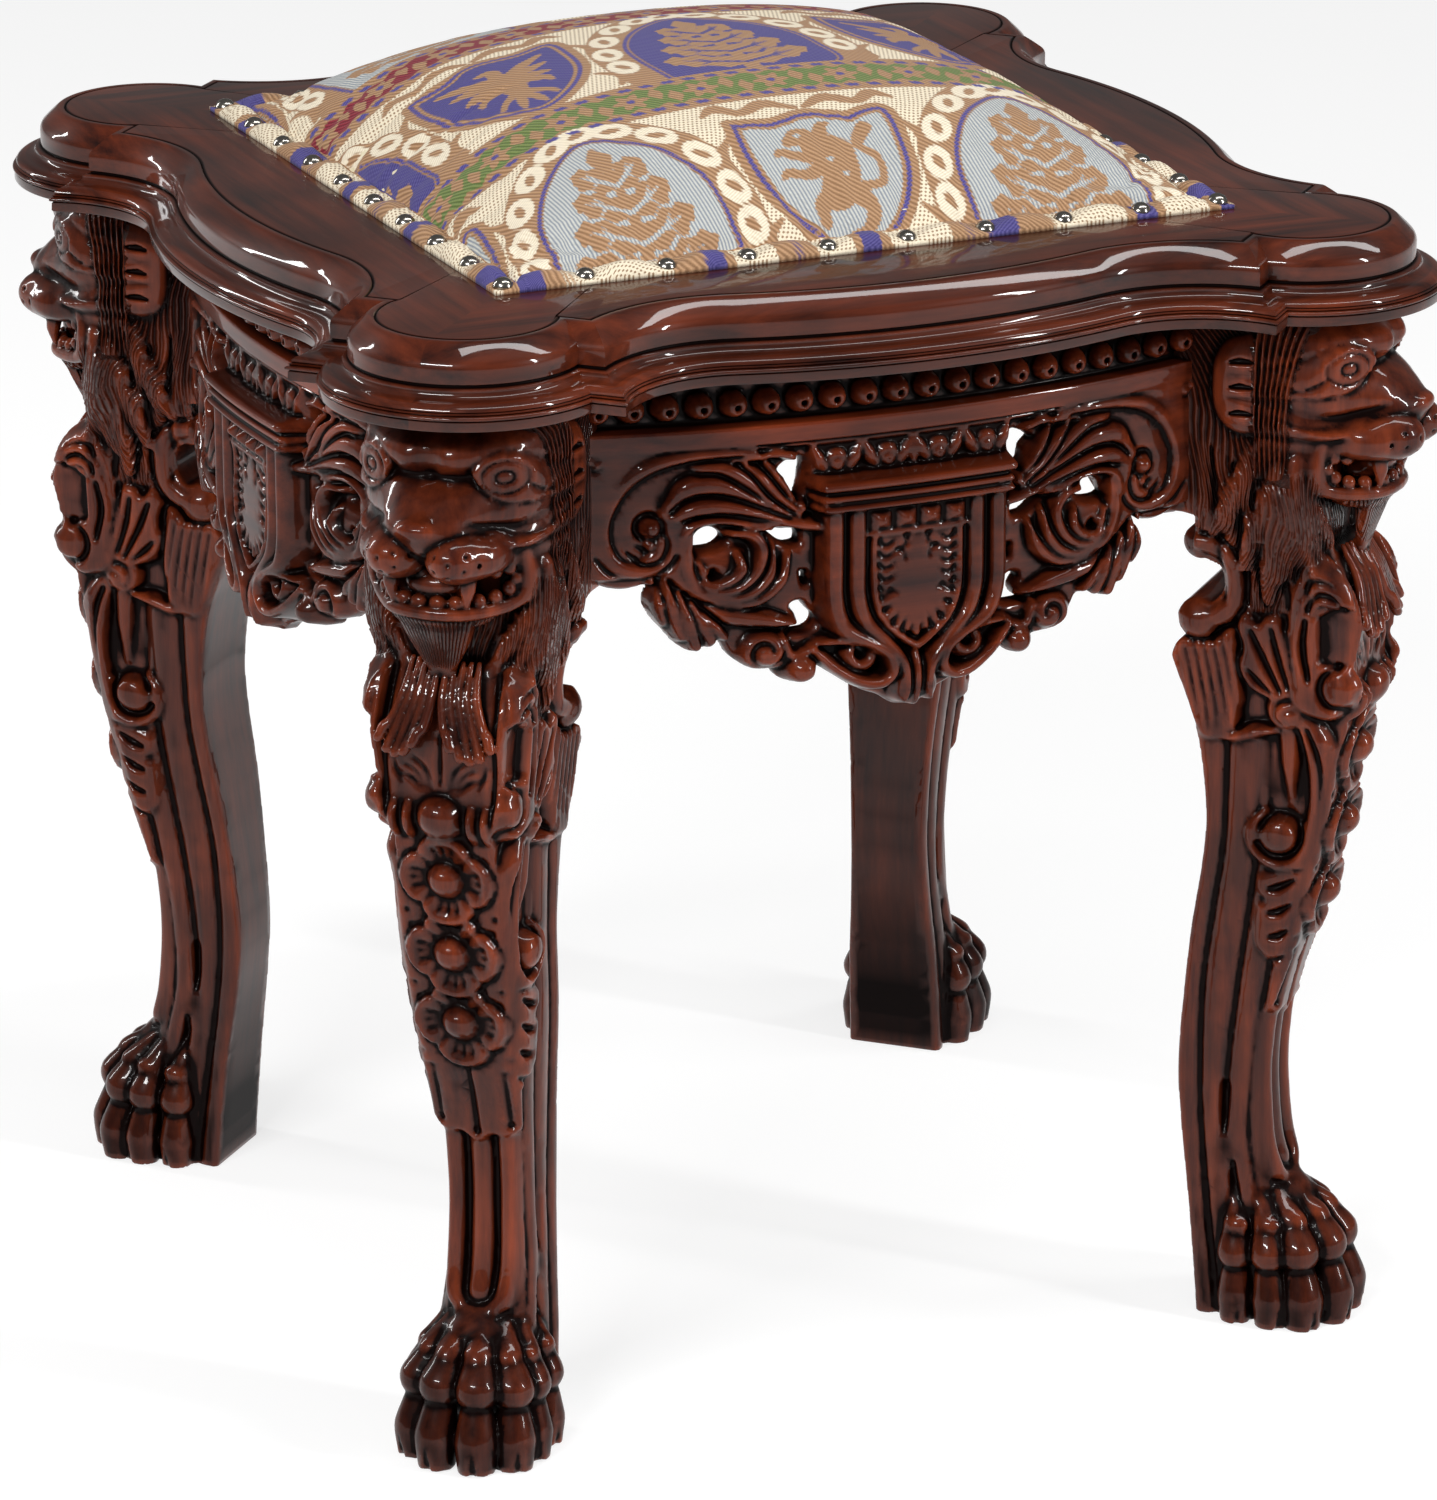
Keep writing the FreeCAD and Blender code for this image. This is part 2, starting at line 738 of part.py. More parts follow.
def drape():
    """The panel that hangs down the front of the knee behind the flowers."""
    rings = []
    for height in DRAPE:
        z = level(height)
        front, face = front_at(z)
        right = [vec(front - 9, face + 2, z), vec(front + 3, face + 1, z)]
        rings.append(right + [vec(p.x, -p.y, z) for p in reversed(right)])
    return stack(rings)


def collar():
    """A band round the top of the knee with one large boss."""
    low, high = (level(z) for z in COLLAR)
    front = front_at(low)[0]
    back = front + COLLAR_RISE - COLLAR_DEPTH
    band = Part.makeBox(COLLAR_DEPTH, 2 * COLLAR_HALF, high - low, vec(back, -COLLAR_HALF, low))
    boss = stack([round_ring(level(radius), depth) for depth, radius in BOSS])
    return [band, facing(boss, vec(front, 0, (low + high) / 2), vec(1, 0))]


def toes():
    """Six toes round the paw, each a lower and an upper knuckle."""
    solids = []
    for sign in (-1, 1):
        for behind, aside, angle in TOES:
            a = math.radians(angle)
            outward = vec(math.cos(a), sign * math.sin(a))
            along = vec(-sign * math.sin(a), math.cos(a))
            for z, radius, shift in KNUCKLES:
                place = vec(size("paw_reach") - behind, sign * aside, level(z)) + outward * shift
                solids.append(bar(place, along, level(radius), size("toe_width"), 6))
    return solids


def ears():
    """Flat ear discs on the sides of the mane, as one bar across the head."""
    z, tall, deep = EAR
    half = size("post_half") + EAR_PROUD
    middle = size("head_root") + 2
    ring = round_ring(1, 0, 8)
    return stack([[vec(middle + deep * p.x, y, level(z) + tall * p.y) for p in ring] for y in (-half, half)])


def leg_shape():
    post_half = size("post_half")
    inner = size("post_inner")
    neck = size("neck_front")
    foot = FRAME_Z - size("post_height")
    beard = stack([round_ring(radius, level(z)) for z, radius in BEARD])
    beard.translate(vec(size("face_reach") - BEARD_BACK, 0))
    solids = [
        stack([shaft_ring(*row) for row in ROWS]),
        stack([
            shaft_ring(*ROWS[-1]),
            shaft_ring(level(NECK[0]), *NECK[1:]),
            shaft_ring(foot, NECK[1], neck, post_half, post_half * 0.75),
        ]),
        Part.makeBox(neck - inner, 2 * post_half, size("post_height"), vec(inner, -post_half, foot)),
        stack([head_ring(*row) for row in HEAD]),
        stack([head_ring(*row) for row in JAW]),
        beard,
        ears(),
        drape(),
    ]
    solids += rosettes() + collar() + toes()
    solids += [across(*row) for row in VOLUTES]
    body = solids[0].multiFuse(solids[1:])
    reach = 2 * size("face_reach")
    body = body.common(Part.makeBox(reach, reach, FRAME_Z, vec(0, -reach / 2, 0)))
    return body.cut(across(*NOTCH))


def leg_joinery():
    """Mortises for the two aprons that meet at this leg, and the screw holes behind it."""
    right, left = tenons(fit)
    right.rotate(vec(0, 0), UP, 45)
    left.rotate(vec(0, 0), UP, 135)
    return [right, left] + side_screws(fit)


leg = leg_shape().cut(leg_joinery()).removeSplitter()
for corner, corner_angle in CORNERS.items():
    obj = feature(f"leg_{corner}", leg)
    obj.Placement = turned(corner_angle)
    part(obj, f"leg_{corner}")

doc.recompute()

for obj in doc.Objects:
    if "Invalid" in obj.State or "Error" in obj.State:
        raise RuntimeError(f"{obj.Label} failed: {obj.State}")
for obj in parts:
    if obj.Shape.isNull() or not obj.Shape.isValid() or not obj.Shape.Solids:
        raise RuntimeError(f"{obj.Label} has no valid shape")

os.makedirs("parts", exist_ok=True)
for obj in parts:
    obj.Shape.exportStep(f"parts/{obj.Label}.step")
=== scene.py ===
import bpy
import numpy as np
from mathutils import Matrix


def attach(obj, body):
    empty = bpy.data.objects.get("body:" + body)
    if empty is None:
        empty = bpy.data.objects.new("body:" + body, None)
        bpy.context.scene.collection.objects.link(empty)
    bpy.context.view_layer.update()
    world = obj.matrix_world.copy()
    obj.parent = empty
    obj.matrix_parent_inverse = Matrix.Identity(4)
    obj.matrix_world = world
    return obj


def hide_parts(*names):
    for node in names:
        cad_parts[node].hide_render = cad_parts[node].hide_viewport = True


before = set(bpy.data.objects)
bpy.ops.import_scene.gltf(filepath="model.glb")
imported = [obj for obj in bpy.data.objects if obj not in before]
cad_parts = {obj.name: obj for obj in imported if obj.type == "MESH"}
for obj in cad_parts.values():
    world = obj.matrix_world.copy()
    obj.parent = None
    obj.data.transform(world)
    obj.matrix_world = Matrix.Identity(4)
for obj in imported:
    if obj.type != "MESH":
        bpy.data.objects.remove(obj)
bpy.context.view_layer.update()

import openvdb
from mathutils import Matrix, Vector

# Legs: four alike, each carved from one length of hardwood; glaze and painted shade darken the hollows.
# The foot is a paw, the knee has flowers on its front and scrolls on its flanks, and the
# top is a lion head before the square post that the aprons and the corner block join.

CORNERS = {"front_left": 225, "front_right": 315, "back_right": 45, "back_left": 135}
# grain is the cell of the block that is carved, and fill the share of wood round a point of the surface
LEG_GRAIN = 0.85
LEG_TOP = 421.0
LEG_THINNING = 0.06
FILL_REACH = 3
# fills where the colour is lightest (painted highlight with wear), plain, and darkest (glazing with painted
# shade)
RUBBED_AND_HIGHLIT_FILL = 0.36
FLAT_FILL = 0.50
HOLLOW_FILL = 0.58
SUNK = -4.6
PANEL_SUNK = -3.6
HEAD_HALF = 35.0
EAR = (237.0, 391.0)
EAR_POWER = 2.6
RIB_BACK = 237.4
RIB_COUNT = 7
NOTCH = (213.0, 308.5)
WHISKER_PIT = 1.15
HAIR_DEPTH = 0.28
FOOT_SHADE = 0.085


def line_through(points, count):
    """A smooth line (Catmull-Rom) through points, in count steps."""
    p = np.asarray(points, float)
    p = np.vstack([2 * p[0] - p[1], p, 2 * p[-1] - p[-2]])
    share = np.linspace(0, len(points) - 1, count + 1)
    i = np.minimum(share.astype(int), len(points) - 2)
    f = (share - i)[:, None]
    a, b, c, e = p[i], p[i + 1], p[i + 2], p[i + 3]
    bent = (2 * a - 5 * b + 4 * c - e) * f ** 2
    twisted = (3 * b - a - 3 * c + e) * f ** 3
    return 0.5 * (2 * b + (c - a) * f + bent + twisted)


def smooth(knots, place):
    """A value that runs smoothly through (place, value) knots."""
    line = line_through(knots, 240)
    return np.interp(place, line[:, 0], line[:, 1])


def spread(values, place):
    """Values shared out evenly along a line, read at shares 0 to 1 of it."""
    values = np.atleast_1d(values)
    return np.interp(place, np.linspace(0, 1, len(values)), values)


def spiral(centre, radius, start, turns, shrink=0.3):
    """Points of a volute that winds in from its rim: start in degrees, turns in whole turns."""
    a = np.radians(start) + np.linspace(0, 2 * np.pi * turns, 14)
    r = radius * np.linspace(1, shrink, 14)
    return np.stack([centre[0] + r * np.cos(a), centre[1] + r * np.sin(a)], 1)


class Relief:
    """A carved face: heights h over a plane with axes x and y, cut with a few kinds of stroke."""

    def __init__(self, x, y, ground):
        self.axes = x, y
        self.x = x[:, None] + 0 * y[None, :]
        self.y = y[None, :] + 0 * x[:, None]
        self.h = ground + 0 * self.x

    def window(self, points, reach):
        """The part of the plane within reach of some points."""
        points = np.atleast_2d(points)
        low, high = points.min(0) - np.max(reach), points.max(0) + np.max(reach)
        return tuple(slice(*np.searchsorted(axis, (a, b))) for axis, a, b in zip(self.axes, low, high))

    def near(self, path, reach, count=32):
        """A window round a smooth line; in it, distance to the line, share along it and side of it."""
        q = line_through(path, count)
        win = self.window(q, reach)
        a = q[:-1]
        e = q[1:] - a
        px = self.x[win][..., None] - a[:, 0]
        py = self.y[win][..., None] - a[:, 1]
        share = np.clip((px * e[:, 0] + py * e[:, 1]) / (e ** 2).sum(1), 0, 1)
        gap = np.hypot(px - share * e[:, 0], py - share * e[:, 1])
        k = gap.argmin(-1)[..., None]
        side = np.sign(np.take_along_axis(px * e[:, 1] - py * e[:, 0], k, -1))[..., 0]
        place = (k + np.take_along_axis(share, k, -1))[..., 0] / count
        return win, np.take_along_axis(gap, k, -1)[..., 0], place, side

    def inside(self, path, count=120):
        """Signed distance to a closed smooth outline, below zero inside it."""
        closed = list(path) + [path[0]]
        gap = self.near(closed, 999, count)[1]
        q = line_through(closed, count)
        odd = np.zeros(self.x.shape, bool)
        for (x1, y1), (x2, y2) in zip(q[:-1], q[1:]):
            crosses = (y1 > self.y) != (y2 > self.y)
            odd ^= crosses & (self.x < (x2 - x1) * (self.y - y1) / (y2 - y1 + 1e-12) + x1)
        return np.where(odd, -gap, gap)

    def lift(self, where, height):
        """Raise a part of the plane to a height, where it is lower."""
        self.h = np.where(where, np.maximum(self.h, height), self.h)

    def reed(self, path, width, foot, top):
        """A round ridge; its half width, foot and crest may change along the line."""
        win, gap, place, _ = self.near(path, width)
        s = np.minimum(gap / spread(width, place), 1)
        low = spread(foot, place)
        ridge = low + (spread(top, place) - low) * np.sqrt(1 - s ** 2)
        self.h[win] = np.where(s < 1, np.maximum(self.h[win], ridge), self.h[win])

    def slit(self, path, width, depth):
        """A gouge cut, round across."""
        win, gap, place, _ = self.near(path, width)
        self.h[win] -= depth * np.maximum(0, 1 - (gap / spread(width, place)) ** 2)

    def leaf(self, path, width, foot, top, flutes, cut):
        """A leaf along a line: rounded across, with gouged flutes that run along it."""
        win, gap, place, side = self.near(path, width)
        w = spread(width, place)
        s = np.minimum(gap / w, 1)
        low = spread(foot, place)
        wave = 0.5 - 0.5 * np.cos(np.pi * flutes * (s * side + 1))
        blade = low + (spread(top, place) - low) * np.sqrt(1 - s ** 2) - cut * wave
        self.h[win] = np.where(gap < w, np.maximum(self.h[win], blade), self.h[win])

    def dome(self, centre, radii, foot, top, turn=0.0):
        """A boss: half an ellipsoid over an ellipse."""
        a = np.radians(turn)
        u = ((self.x - centre[0]) * np.cos(a) + (self.y - centre[1]) * np.sin(a)) / radii[0]
        v = ((self.y - centre[1]) * np.cos(a) - (self.x - centre[0]) * np.sin(a)) / radii[1]
        s = np.minimum(u ** 2 + v ** 2, 1)
        self.lift(s < 1, foot + (top - foot) * np.sqrt(1 - s))

    def pit(self, centre, radius, depth):
        """A round hollow."""
        s = ((self.x - centre[0]) ** 2 + (self.y - centre[1]) ** 2) / radius ** 2
        self.h = self.h - depth * np.maximum(0, 1 - s)

    def ring(self, centre, radii, width, depth):
        """A groove along an ellipse."""
        r = np.hypot((self.x - centre[0]) / radii[0], (self.y - centre[1]) / radii[1])
        gap = (r - 1) * min(radii) / width
        self.h = self.h - depth * np.maximum(0, 1 - gap ** 2)

    def soften(self, passes):
        """Rub the whole face down with a three by three mean."""
        for _ in range(passes):
            p = np.pad(self.h, 1, mode="edge")
            rows = (p[:-2] + p[1:-1] + p[2:]) / 3
            self.h = (rows[:, :-2] + rows[:, 1:-1] + rows[:, 2:]) / 3

    def steepness(self, step):
        """Length of the slope over one step of the plane, which turns heights into distances."""
        gx, gy = np.gradient(self.h, step)
        return np.sqrt(1 + gx ** 2 + gy ** 2)


d_axis = np.arange(176, 312, LEG_GRAIN)
t_axis = np.arange(0, 50, LEG_GRAIN)
z_axis = np.arange(-3, 424, LEG_GRAIN)
D = d_axis[:, None, None]
T = t_axis[None, :, None]
Z = z_axis[None, None, :]

# side view of the leg: back and front lines, half widths of the flank and of the front strip
BACK = [(-10, 215.5), (0, 215), (42, 211), (80, 206), (108, 204.5), (155, 209), (190, 214.5), (212, 216),
        (240, 213), (258, 207.5), (270, 203), (277, 202.6), (283, 205.5), (288, 212), (292, 213)]
FRONT = [(-10, 250), (0, 250), (40, 250), (60, 246), (75, 242), (100, 240), (120, 241), (138, 244),
         (160, 250), (180, 254.5), (207, 261), (238, 266), (256, 270), (268, 273.6), (282, 275.4),
         (296, 274.6), (308, 270.5), (320, 265.5), (337, 258), (430, 256)]
HALF = [(-10, 21), (0, 21), (40, 20), (70, 18), (100, 17), (138, 18.5), (180, 22), (212, 23), (250, 24.5),
        (290, 26.5), (318, 30), (338, 34.4), (360, 35), (430, 35)]
STRIP = [(-10, 13), (40, 13), (70, 13.5), (100, 13.5), (138, 16), (180, 19), (212, 20), (246, 21.5),
         (256, 26), (264, 29), (290, 29.5), (311, 28.5), (320, 25), (330, 20), (340, 19), (430, 25)]
SCROLL_FRONT = [(248, 264), (258, 271), (264, 277), (270, 280.4), (276, 279), (284, 277), (296, 279),
                (307, 276.5), (316, 272), (322, 266), (330, 260)]
back_edge, front_edge = smooth(BACK, z_axis), smooth(FRONT, z_axis)

# the flank, drawn over distance and height: reeds down the shaft
flank = Relief(d_axis, z_axis, 0.0)
fd, fz = flank.x, flank.y
GROOVES = [
    [(-10, 224), (10, 223), (40, 219), (70, 215.5), (100, 213.5), (140, 214.5), (175, 219.5), (200, 223),
     (245, 224.5), (300, 224.5)],
    [(-10, 232), (40, 231), (60, 228), (80, 224), (110, 225.5), (140, 229), (175, 234), (200, 237),
     (245, 239.5), (300, 240)],
    [(-10, 244), (40, 243), (60, 238), (80, 234.5), (110, 236), (140, 240.5), (175, 247), (200, 251),
     (245, 256), (300, 256)],
]
grooves = [back_edge - 1.0, *(smooth(knots, z_axis) for knots in GROOVES), front_edge + 5]
for low, high in zip(grooves, grooves[1:]):
    s = np.minimum(abs((2 * fd - low - high) / (high - low)), 1)
    flank.h = np.where((fd >= low) & (fd <= high), 4.2 * np.sqrt(1 - s ** 2.6) - 4.2, flank.h)
# forks where the reeds join above the foot
fork = flank.inside([(218, 84), (221, 72), (222, 60), (228, 64), (231, 76), (230, 86), (224.5, 78)])
flank.h = np.where(fork < 3, np.maximum(flank.h, -0.8 - 0.25 * np.maximum(fork, 0) ** 2), flank.h)
flank.slit([(224.3, 96), (224.2, 86), (224.4, 77)], (2.4, 2.0, 0.8), 3.4)
flank.slit([(228.4, 65), (229.4, 56), (231, 46)], (0.8, 2.2, 2.6), 3.0)
# recessed field behind the scrolls, with a thin spike on it
flank.h = np.where(fz > 247, SUNK - SUNK * np.clip((fz - 291) / 8, 0, 1), flank.h)
flank.h = np.where((fz > 212) & (fz <= 247) & (fd > 240), SUNK, flank.h)
flank.reed([(249.5, 250), (250, 235), (250.5, 218)], (4.4, 3.6, 0.8), SUNK, (0.6, 0.4, -3))
# fluted bracket under the notch, with a small roll at its foot
bracket = flank.inside([(201, 277), (204.5, 284), (211, 285), (219, 285), (227, 290), (230, 276),
                        (230.5, 262), (229, 249), (222, 243.5), (214, 244), (208, 258)])
fan = (fd - 213.5 + (fz - 283) * 0.24 + 0.0016 * (fz - 283) ** 2) / 4.0
fade = np.clip((fz - 245) / 10, 0, 1) * np.clip((fd - back_edge[None]) / 3.5, 0, 1)
flutes = 1.9 * np.abs(np.sin(np.pi * fan)) ** 4 * fade
flank.lift(bracket < 0, 2.4 - flutes - 0.24 * np.clip(bracket + 3.4, 0, 9) ** 2)
flank.reed([(222, 244.6), (228, 245.4), (236, 248), (244.5, 249.4)], (1.6, 2.6, 2.8, 1.6), -4,
           (1.4, 2.6, 2.8, 1.6))
# tulip: three lobes with long gouge cuts, springing from a ball
tulip = flank.inside([(247, 259), (241, 262.5), (233.5, 266.5), (229.4, 275), (231, 283), (228.6, 291),
                      (230.4, 297), (234, 297.4), (237.4, 294), (241, 297), (246.4, 297.4), (249.6, 286),
                      (252, 272), (252, 262)])
flank.lift(tulip < 0, 3.0 - 0.34 * np.clip(tulip + 3.2, 0, 9) ** 2)
flank.slit([(233, 274.6), (237, 270.4), (243, 265)], (0.7, 1.7, 0.8), 3.4)
flank.slit([(234.6, 291), (239.6, 280), (247, 266)], (0.8, 1.9, 0.8), 3.8)
flank.slit([(243, 292.6), (245.6, 281), (249.6, 268)], (0.8, 1.8, 0.8), 3.6)
# lower scroll: a broad band with a long slit that winds round a flat ball
flank.reed([(254.5, 257), (261, 247), (264.6, 231), (263.4, 213), (257.5, 200), (247, 195), (238, 199.5),
            (235.6, 207.5), (240, 213.6)],
           (4.2, 6.4, 7.0, 6.6, 5.6, 4.8, 4.4, 4.0, 2.4), SUNK, (1.6, 3.2, 3.6, 3.6, 3.4, 3.2, 3, 2.6, 1.4))
flank.slit([(257.4, 252), (261.8, 241), (263.4, 229), (261.4, 212)], (0.9, 2.1, 2.2, 0.8), 4.8)
flank.dome((246.4, 206.4), (10.2, 9.6), SUNK, 5.0)
flank.slit(spiral((246.4, 206.4), 9.8, 205, 0.86, 0.8), 1.7, 4.6)
# ball with rings between tulip and scrolls
flank.dome((249, 258), (8.6, 8.6), SUNK, 5.0)
flank.slit(spiral((250, 257.4), 6.0, 60, 0.5, 0.85), 1.2, 2.4)
flank.slit(spiral((251, 256.6), 3.2, 60, 0.5, 0.85), 1.0, 2.0)
# upper scroll: an arch with nested rolls, a slit, a plain field and a ball
arch = flank.inside([(250, 262), (248.6, 280), (249.4, 296), (252.6, 311), (258, 320.5), (264.6, 323.4),
                     (271.5, 318), (276.5, 307), (279, 296), (276, 280), (270, 258), (258, 257)])
flank.lift(arch < 0, 4.2 - 0.2 * np.clip(arch + 4.6, 0, 9) ** 2)
plate = flank.inside([(262.6, 300), (262, 286), (265, 279), (277, 281), (280, 300), (272, 304)])
flank.h = np.where(plate < 0, -0.6, flank.h)
flank.slit([(257.4, 298), (256, 286), (258.6, 273)], (0.8, 2.1, 0.9), 4.4)
flank.slit([(253.4, 268), (251.4, 283), (252.6, 298), (256.5, 310), (263, 315.6), (270, 312)],
           (0.6, 0.9, 1.0, 1.1, 1.1, 0.6), 1.9)
flank.slit([(258.2, 301.6), (262.6, 308.4), (268.4, 308), (272.6, 303)], (0.8, 1.4, 1.4, 0.8), 3.2)
flank.slit([(260.2, 299), (263.6, 303.4), (267.6, 303.2)], (0.8, 1.4, 0.8), 2.8)
flank.slit([(255.6, 306), (261, 313.6), (268.6, 313), (274, 306)], (0.6, 1.1, 1.1, 0.6), 2.0)
flank.dome((271.4, 269.6), (9.4, 9.4), SUNK, 5.8)
flank.slit(spiral((271.4, 269.6), 9.0, 95, 0.72, 0.82), 1.6, 3.8)
# feather with slashes under the lower scroll
feather = flank.inside([(240, 191), (249, 193.4), (260, 191), (262, 180), (258, 165), (254, 152),
                        (249, 145.4), (245, 150), (239, 155), (236, 160), (236.4, 170), (237, 177),
                        (240, 179), (237, 182), (237, 188)])
flank.lift(feather < 0, 2.2 - 0.3 * np.clip(feather + 3.4, 0, 9) ** 2)
for slash in range(4):
    low = 184.6 - 10.2 * slash
    start = 242 + 0.3 * slash
    path = [(start, low - 1), (start + 5, low + 0.4), (start + 12 - slash, low + 4.6)]
    flank.slit(path, (0.6, 2.0, 0.6), 3.8)
# rolled band round the notch behind the neck
flank.reed([(208, 325), (220, 323.5), (227.6, 316), (228.6, 306), (224, 296.5), (210, 291)],
           (5.4, 5.6, 5.2, 5.0, 5.4, 6), -4, (3.2, 2.6, 2, 2, 2.6, 3.6))
flank.slit([(208, 329.5), (222, 327.6), (232.4, 317), (233.4, 304), (227, 292), (212, 286)], 1.0, 2.2)
flank.slit([(209, 322.4), (218.6, 320), (224, 312), (223, 303), (217, 296.4)], 0.8, 1.3)
# deeper partings between the locks of the mane
for lock in range(5):
    start = 220 + 8.6 * lock
    sway = 1.8 * np.sin(lock * 2.1)
    flank.slit([(start, 364 - 5 * (lock % 2)), (start + 1 + sway, 348), (start + 3, 332),
                (start + 2.4 + sway, 315), (start + 4, 301)],
               (0.8, 2.2, 2.6, 2.2, 0.8), 2.4)
flank.soften(1)
half = smooth(HALF, z_axis)[None, :] + flank.h


def ear_share(d, z, wide, tall):
    """Zero in the middle of the ear and one on its rim, which is a circle grown square."""
    u, v = abs((d - EAR[0]) / wide), abs((z - EAR[1]) / tall)
    return (u ** EAR_POWER + v ** EAR_POWER) ** (1 / EAR_POWER)


def rib_front_at(z):
    """Where the combed ring behind the cheek ends, towards the face, at a height."""
    return 251.0 + 8.0 * np.clip((z - 380) / 38, 0, 1) ** 1.5


# flank of the head: ear disc with three slots, combed ring and cheek
ear = ear_share(fd, fz, 17.6, 20.4)
half = np.where(fz >= 366, HEAD_HALF, half)
flank.h = np.where((ear < 1) & (fd < RIB_BACK), HEAD_HALF + 4.6 * (1 - ear ** 6), half)
for slot in (380, 390.5, 400.5):
    flank.slit([(227.4, slot - 0.3), (231.8, slot + 0.4), (236.6, slot + 0.2)], (0.5, 1.8, 0.9), 2.8)
rib_front = rib_front_at(fz)
across_ring = (fd - RIB_BACK) / (rib_front - RIB_BACK)
ring = (fd >= RIB_BACK) & (fd < rib_front) & (fz > 353)
rib_swell = 3.8 * np.clip((fz - 353) / 16, 0, 1) - 1.4 * (across_ring - 0.4) ** 2
flank.h = np.where(ring, np.maximum(flank.h, HEAD_HALF + rib_swell), flank.h)
cheek_swell = 2.2 * np.clip((fz - 358) / 10, 0, 1)
flank.h = np.where((fd >= rib_front) & (fz > 358), HEAD_HALF + cheek_swell, flank.h)
combed = np.sin(2 * np.pi * RIB_COUNT * across_ring) * np.clip((fz - 354) / 8, 0, 1)
flank.h = np.where(ring, flank.h + 0.75 * combed, flank.h)
side_field = (T - flank.h[:, None, :]) / flank.steepness(LEG_GRAIN)[:, None, :]

# the front, drawn over width and height: a panel with a raised rim and a middle reed
face = Relief(t_axis, z_axis, 0.0)
ft, fy = face.x, face.y
face.h = np.where((fy > 50) & (fy < 140), PANEL_SUNK, 0.0)
face.reed([(11, 142), (11, 100), (11, 68), (7.6, 59), (0, 56), (-7.6, 59)], (4.4, 4.4, 4.4, 4.0, 4.0, 4.0),
          PANEL_SUNK, 2.0)
face.reed([(0, 142), (0, 100), (0, 64)], 5.2, PANEL_SUNK, 1.4)
# drape with a scalloped hem and three pin-ended slits
hem = 125.5 + 5.5 * (np.minimum(ft, 21) / 18) ** 1.6 - 0.9 * np.cos(ft * np.pi / 7.5)
drape = np.clip((fy - hem) / 1.5, 0, 1) * np.clip((257 - fy) / 4, 0, 1)
face.h = face.h + drape * (3.0 - face.h)
for place, low in ((0.0, 129.5), (14.6, 133.5)):
    face.slit([(place, 158), (place, 146), (place, low + 3)], (0.5, 1.4, 2.0), 2.4)
    face.pit((place, low), 2.3, 3.6)
# flowers: four cupped petals with three gouge cuts each, round a boss
PETALS = 4
for centre in (178, 208, 239):
    r = np.hypot(ft, fy - centre) / 19.0
    turn = (np.arctan2(fy - centre, ft) * PETALS / (2 * np.pi) + 0.5) % 1.0 - 0.5
    rim = 0.80 + 0.20 * np.cos(np.pi * turn) ** 0.8
    q = np.clip(r / rim, 0, 1)
    cup = 3.0 + 4.6 * q ** 2 - 2.0 * np.clip((q - 0.90) / 0.10, 0, 1) ** 2
    cup = cup - 2.4 * np.clip((abs(turn) - 0.45) / 0.05, 0, 1)
    fine = np.maximum(np.exp(-(turn / 0.045) ** 2), np.exp(-((abs(turn) - 0.17) / 0.045) ** 2))
    cup = cup - 1.7 * fine * np.clip((r - 0.44) / 0.05, 0, 1) * np.clip((0.80 - r) / 0.08, 0, 1)
    face.h = np.where(r < rim, cup, face.h - 2.4 * np.clip(1 - (r - rim) / 0.07, 0, 1))
    face.dome((0, centre), (7.4, 7.4), 2, 11.0)
for height in (224, 193, 163):
    face.pit((18.0, height), 1.4, 2.2)
    face.pit((16.4, height - 6), 1.3, 2.0)
# collar: a large boss, upright bars and knobs
face.lift((fy > 254) & (fy < 276), 2.0 * np.clip((276 - fy) / 12, 0, 1))
face.dome((0, 264), (9.5, 9.5), 0, 10)
for place, tall, wide in ((12.8, 9, 2.8), (18.6, 9, 2.8), (24.4, 11, 3.8)):
    face.dome((place, 262.5), (wide, tall), -3, 8)
# fan of gouge cuts above the collar
face.slit([(0, 278), (0, 286), (0, 297)], (0.6, 1.3, 0.5), 2.2)
for start, bend, end in (((3.6, 276), (6, 283), (11.6, 289)), ((5.6, 276), (9, 281.4), (14.4, 285.4)),
                         ((7.4, 275.6), (11.4, 279.4), (16.4, 281.4)),
                         ((15, 277), (18, 283), (19.4, 288))):
    face.slit([start, bend, end], (0.5, 1.4, 0.5), 2.2)
# the upper scrolls reach round to the front as two bands with grooves along them
reach = (smooth(SCROLL_FRONT, z_axis) - front_edge)[None, :]
band = np.clip((ft - 22.4) / 1.6, 0, 1) * np.clip((fy - 254) / 5, 0, 1) * np.clip((325 - fy) / 3, 0, 1)
face.h = np.where(band > 0, np.maximum(face.h, face.h + band * (reach - face.h)), face.h)
face.slit([(22.0, 272), (22.4, 292), (22.0, 306), (20.4, 320)], (1.0, 1.6, 1.6, 1.0), 3.0)
face.slit([(27.4, 280), (27.6, 292), (27.0, 304), (25.4, 316)], (0.6, 1.2, 1.2, 0.6), 1.8)
chamfer = np.maximum(0, ft - smooth(STRIP, z_axis)[None, :])
face.h = front_edge[None, :] + face.h - 1.15 * chamfer - 0.02 * chamfer ** 2

